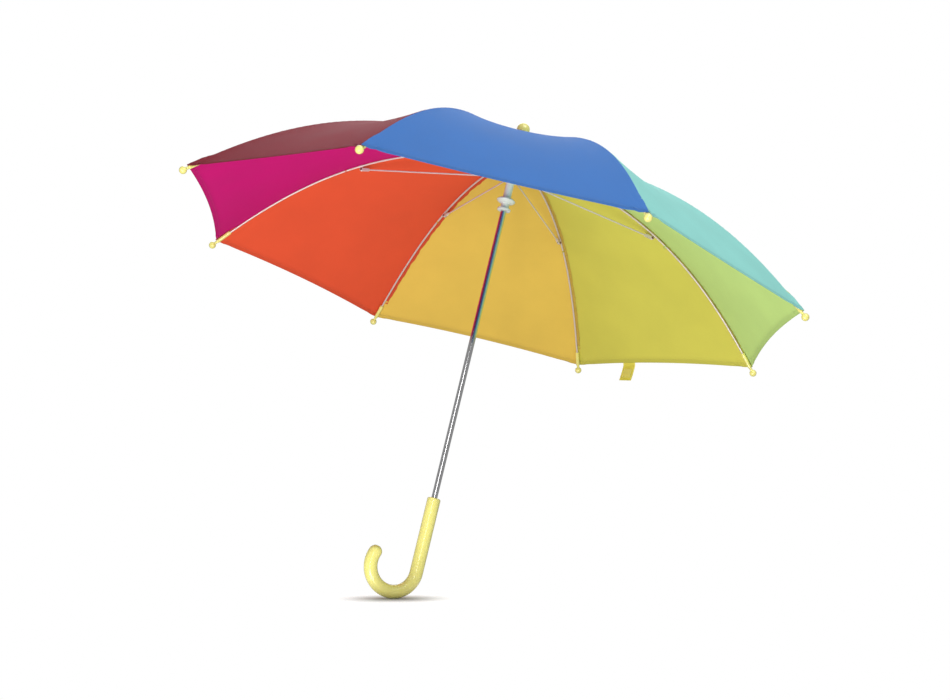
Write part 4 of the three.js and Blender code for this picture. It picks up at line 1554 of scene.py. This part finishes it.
@dataclass
class Studio:
    """A pale floor under the hook, soft lights, a white surround and the camera."""

    eye: tuple[float, float, float] = (0.82325, 2.09290, -0.31057)
    right: tuple[float, float, float] = (-0.88411, 0.40788, 0.22799)
    up: tuple[float, float, float] = (0.29895, 0.11874, 0.94685)
    lens: float = 64.647
    drop: float = -4.2

    def axes(self) -> tuple[Array, Array, Array]:
        """The camera's right, up and forward directions, square to each other."""
        right = unit(np.array(self.right))
        up = np.array(self.up)
        up = unit(up - up @ right * right)
        return right, up, np.cross(up, right)

    def camera(self) -> bpy.types.Object:
        """The camera, looking a little up into the canopy.

        Returns:
            The scene's camera.
        """
        right, up, forward = self.axes()
        data = bpy.data.cameras.new("camera")
        data.lens, data.sensor_width, data.clip_start = self.lens, 36.0, 0.05
        seen = bpy.data.objects.new("camera", data)
        turn = Matrix([[*map(float, row)] for row in np.stack([right, up, -forward], 1)]).to_4x4()
        seen.matrix_world = Matrix.Translation(Vector(self.eye)) @ turn
        bpy.context.collection.objects.link(seen)
        bpy.context.scene.camera = seen
        return seen

    def floor(self, handle: HookHandle) -> bpy.types.Object:
        """A small round floor that just touches the hook and fades out at its rim.

        Its normal is the camera's up direction leant back by the angle at which it is seen.

        Args:
            handle: the handle that it touches.

        Returns:
            The floor.
        """
        right, up, forward = self.axes()
        tilt = np.radians(self.drop)
        normal = up * np.cos(tilt) - forward * np.sin(tilt)
        path, _ = handle.line()
        depth = path @ normal
        lowest = path[depth.argmin()] - normal * (handle.radius + handle.seam_height)
        side = right
        other = np.cross(normal, side)
        angle = np.arange(96) * TURN / 96
        radius = np.array([0.0, 60.0, 130.0, 200.0, 260.0])[:, None, None]
        ring = np.cos(angle)[:, None] * side + np.sin(angle)[:, None] * other
        grid = lowest + radius * ring[None]
        centre = lowest * MM
        piece = Skin().add(grid).build("floor", [self.floor_material_with_painted_shadow(tuple(map(float, centre)))])
        return piece

    def floor_material_with_painted_shadow(self, centre: tuple[float, float, float]) -> bpy.types.Material:
        """Matt white that glows, with a painted shadow right under the hook, and turns clear towards the rim.

        Args:
            centre: the point under the hook, in metres.

        Returns:
            The material.
        """
        recipe = Recipe("floor_white")
        off = recipe.node("ShaderNodeVectorMath", {"operation": "DISTANCE"},
                          {0: recipe.place(), 1: centre}, out="Value")
        share = recipe.node("ShaderNodeMapRange", {"interpolation_type": "SMOOTHSTEP"},
                            {"Value": off, "From Min": 0.05, "From Max": 0.13})
        # painted shadow: near rises from 0 under the hook to 1 at 92 mm, and the floor's glow goes from 0.02
        # there up to 0.9
        near = recipe.node("ShaderNodeMapRange", {"interpolation_type": "SMOOTHSTEP"},
                           {"Value": off, "From Min": 0.0, "From Max": 0.092})
        recipe.surface(Base_Color=(0.4, 0.4, 0.4, 1), Roughness=0.9, Specular_IOR_Level=0.1,
                       Emission_Color=recipe.blend(near, (0.02, 0.02, 0.02, 1), (0.9, 0.9, 0.9, 1)),
                       Emission_Strength=1.0, Alpha=1 - share)
        return recipe.material

    def light(self, name: str, place: Array, target: Array, size: tuple[float, float], power: float) -> None:
        """Adds a soft rectangular light aimed at a point.

        Args:
            name: the light's name.
            place: its centre, in metres.
            target: the point that it faces.
            size: its width and height.
            power: watts.
        """
        data = bpy.data.lights.new(name, "AREA")
        data.shape, data.size, data.size_y, data.energy = "RECTANGLE", *size, power
        lamp = bpy.data.objects.new(name, data)
        lamp.location = Vector(map(float, place))
        lamp.rotation_euler = Vector(map(float, target - place)).to_track_quat("-Z", "Y").to_euler()
        lamp.visible_camera = False
        bpy.context.collection.objects.link(lamp)

    def lights(self) -> None:
        """Broad lights above, behind and below, and a tall strip beside the camera."""
        right, up, forward = self.axes()
        middle = np.array([0.0, 0.0, 0.35])
        self.light("top_light", middle + up * 1.8 + right * 0.9 - forward * 0.8, middle, (1.6, 1.6), 32.0)
        self.light("strip_light", middle - right * 0.25 - forward * 2.0 + up * 0.1, middle, (0.2, 1.5), 10.0)
        self.light("back_light", middle + forward * 1.9 + up * 1.3, middle, (1.6, 1.6), 16.0)
        self.light("low_light", middle - forward * 1.7 - up * 1.0 - right * 0.5, middle, (1.6, 1.2), 36.0)

    def surround(self) -> bpy.types.Object:
        """An even grey world, and a far white shell behind everything that only the camera sees.

        The shell is a sphere by latitude and longitude, r = 9 m.

        Returns:
            The shell.
        """
        world = bpy.data.worlds.new("surround")
        world.use_nodes = True
        world.node_tree.nodes["Background"].inputs[0].default_value = (1, 1, 1, 1)
        world.node_tree.nodes["Background"].inputs[1].default_value = 0.34
        bpy.context.scene.world = world
        recipe = Recipe("shell_white")
        recipe.surface(Base_Color=(0, 0, 0, 1), Specular_IOR_Level=0.0,
                       Emission_Color=(1, 1, 1, 1), Emission_Strength=1.0)
        grid = turned(arc(9000.0, (0.0, 0.0), -90, 90, 25), 48)
        shell = Skin().add(grid).build("white_shell", [recipe.material])
        for kind in ("diffuse", "glossy", "transmission", "volume_scatter", "shadow"):
            setattr(shell, f"visible_{kind}", False)
        return shell


def main() -> None:
    """Builds the umbrella piece by piece, then the floor, the lights and the camera."""
    logging.basicConfig(level=logging.INFO, format="%(message)s")
    studio = Studio()
    studio.camera()
    finishes, line = Finishes(), RibLine()
    Shaft(finishes).tube()
    handle = HookHandle(finishes)
    handle.grip()
    crown = Crown(finishes, line)
    for make in (crown.notched_head, crown.wire, crown.washer, crown.ferrule):
        make()
    runner = Runner(finishes)
    runner.tube()
    runner.wire()
    for name in ("top_catch", "bottom_catch"):
        for slot in bpy.data.objects[name].material_slots:
            slot.material = finishes[Finish.WIRE]
    ribs = RibSet(finishes, line)
    canopy = Canopy(finishes, line)
    for k in range(8):
        for make in (ribs.rib, ribs.stretcher, ribs.rivet, ribs.tip, ribs.tie):
            make(k)
        canopy.half(k, 1)
        canopy.half(k, -1)
    TieStrap(finishes, canopy).build()
    studio.floor(handle)
    studio.lights()
    studio.surround()
    bpy.context.scene.view_settings.view_transform = "Standard"


if __name__ == "__main__":
    main()
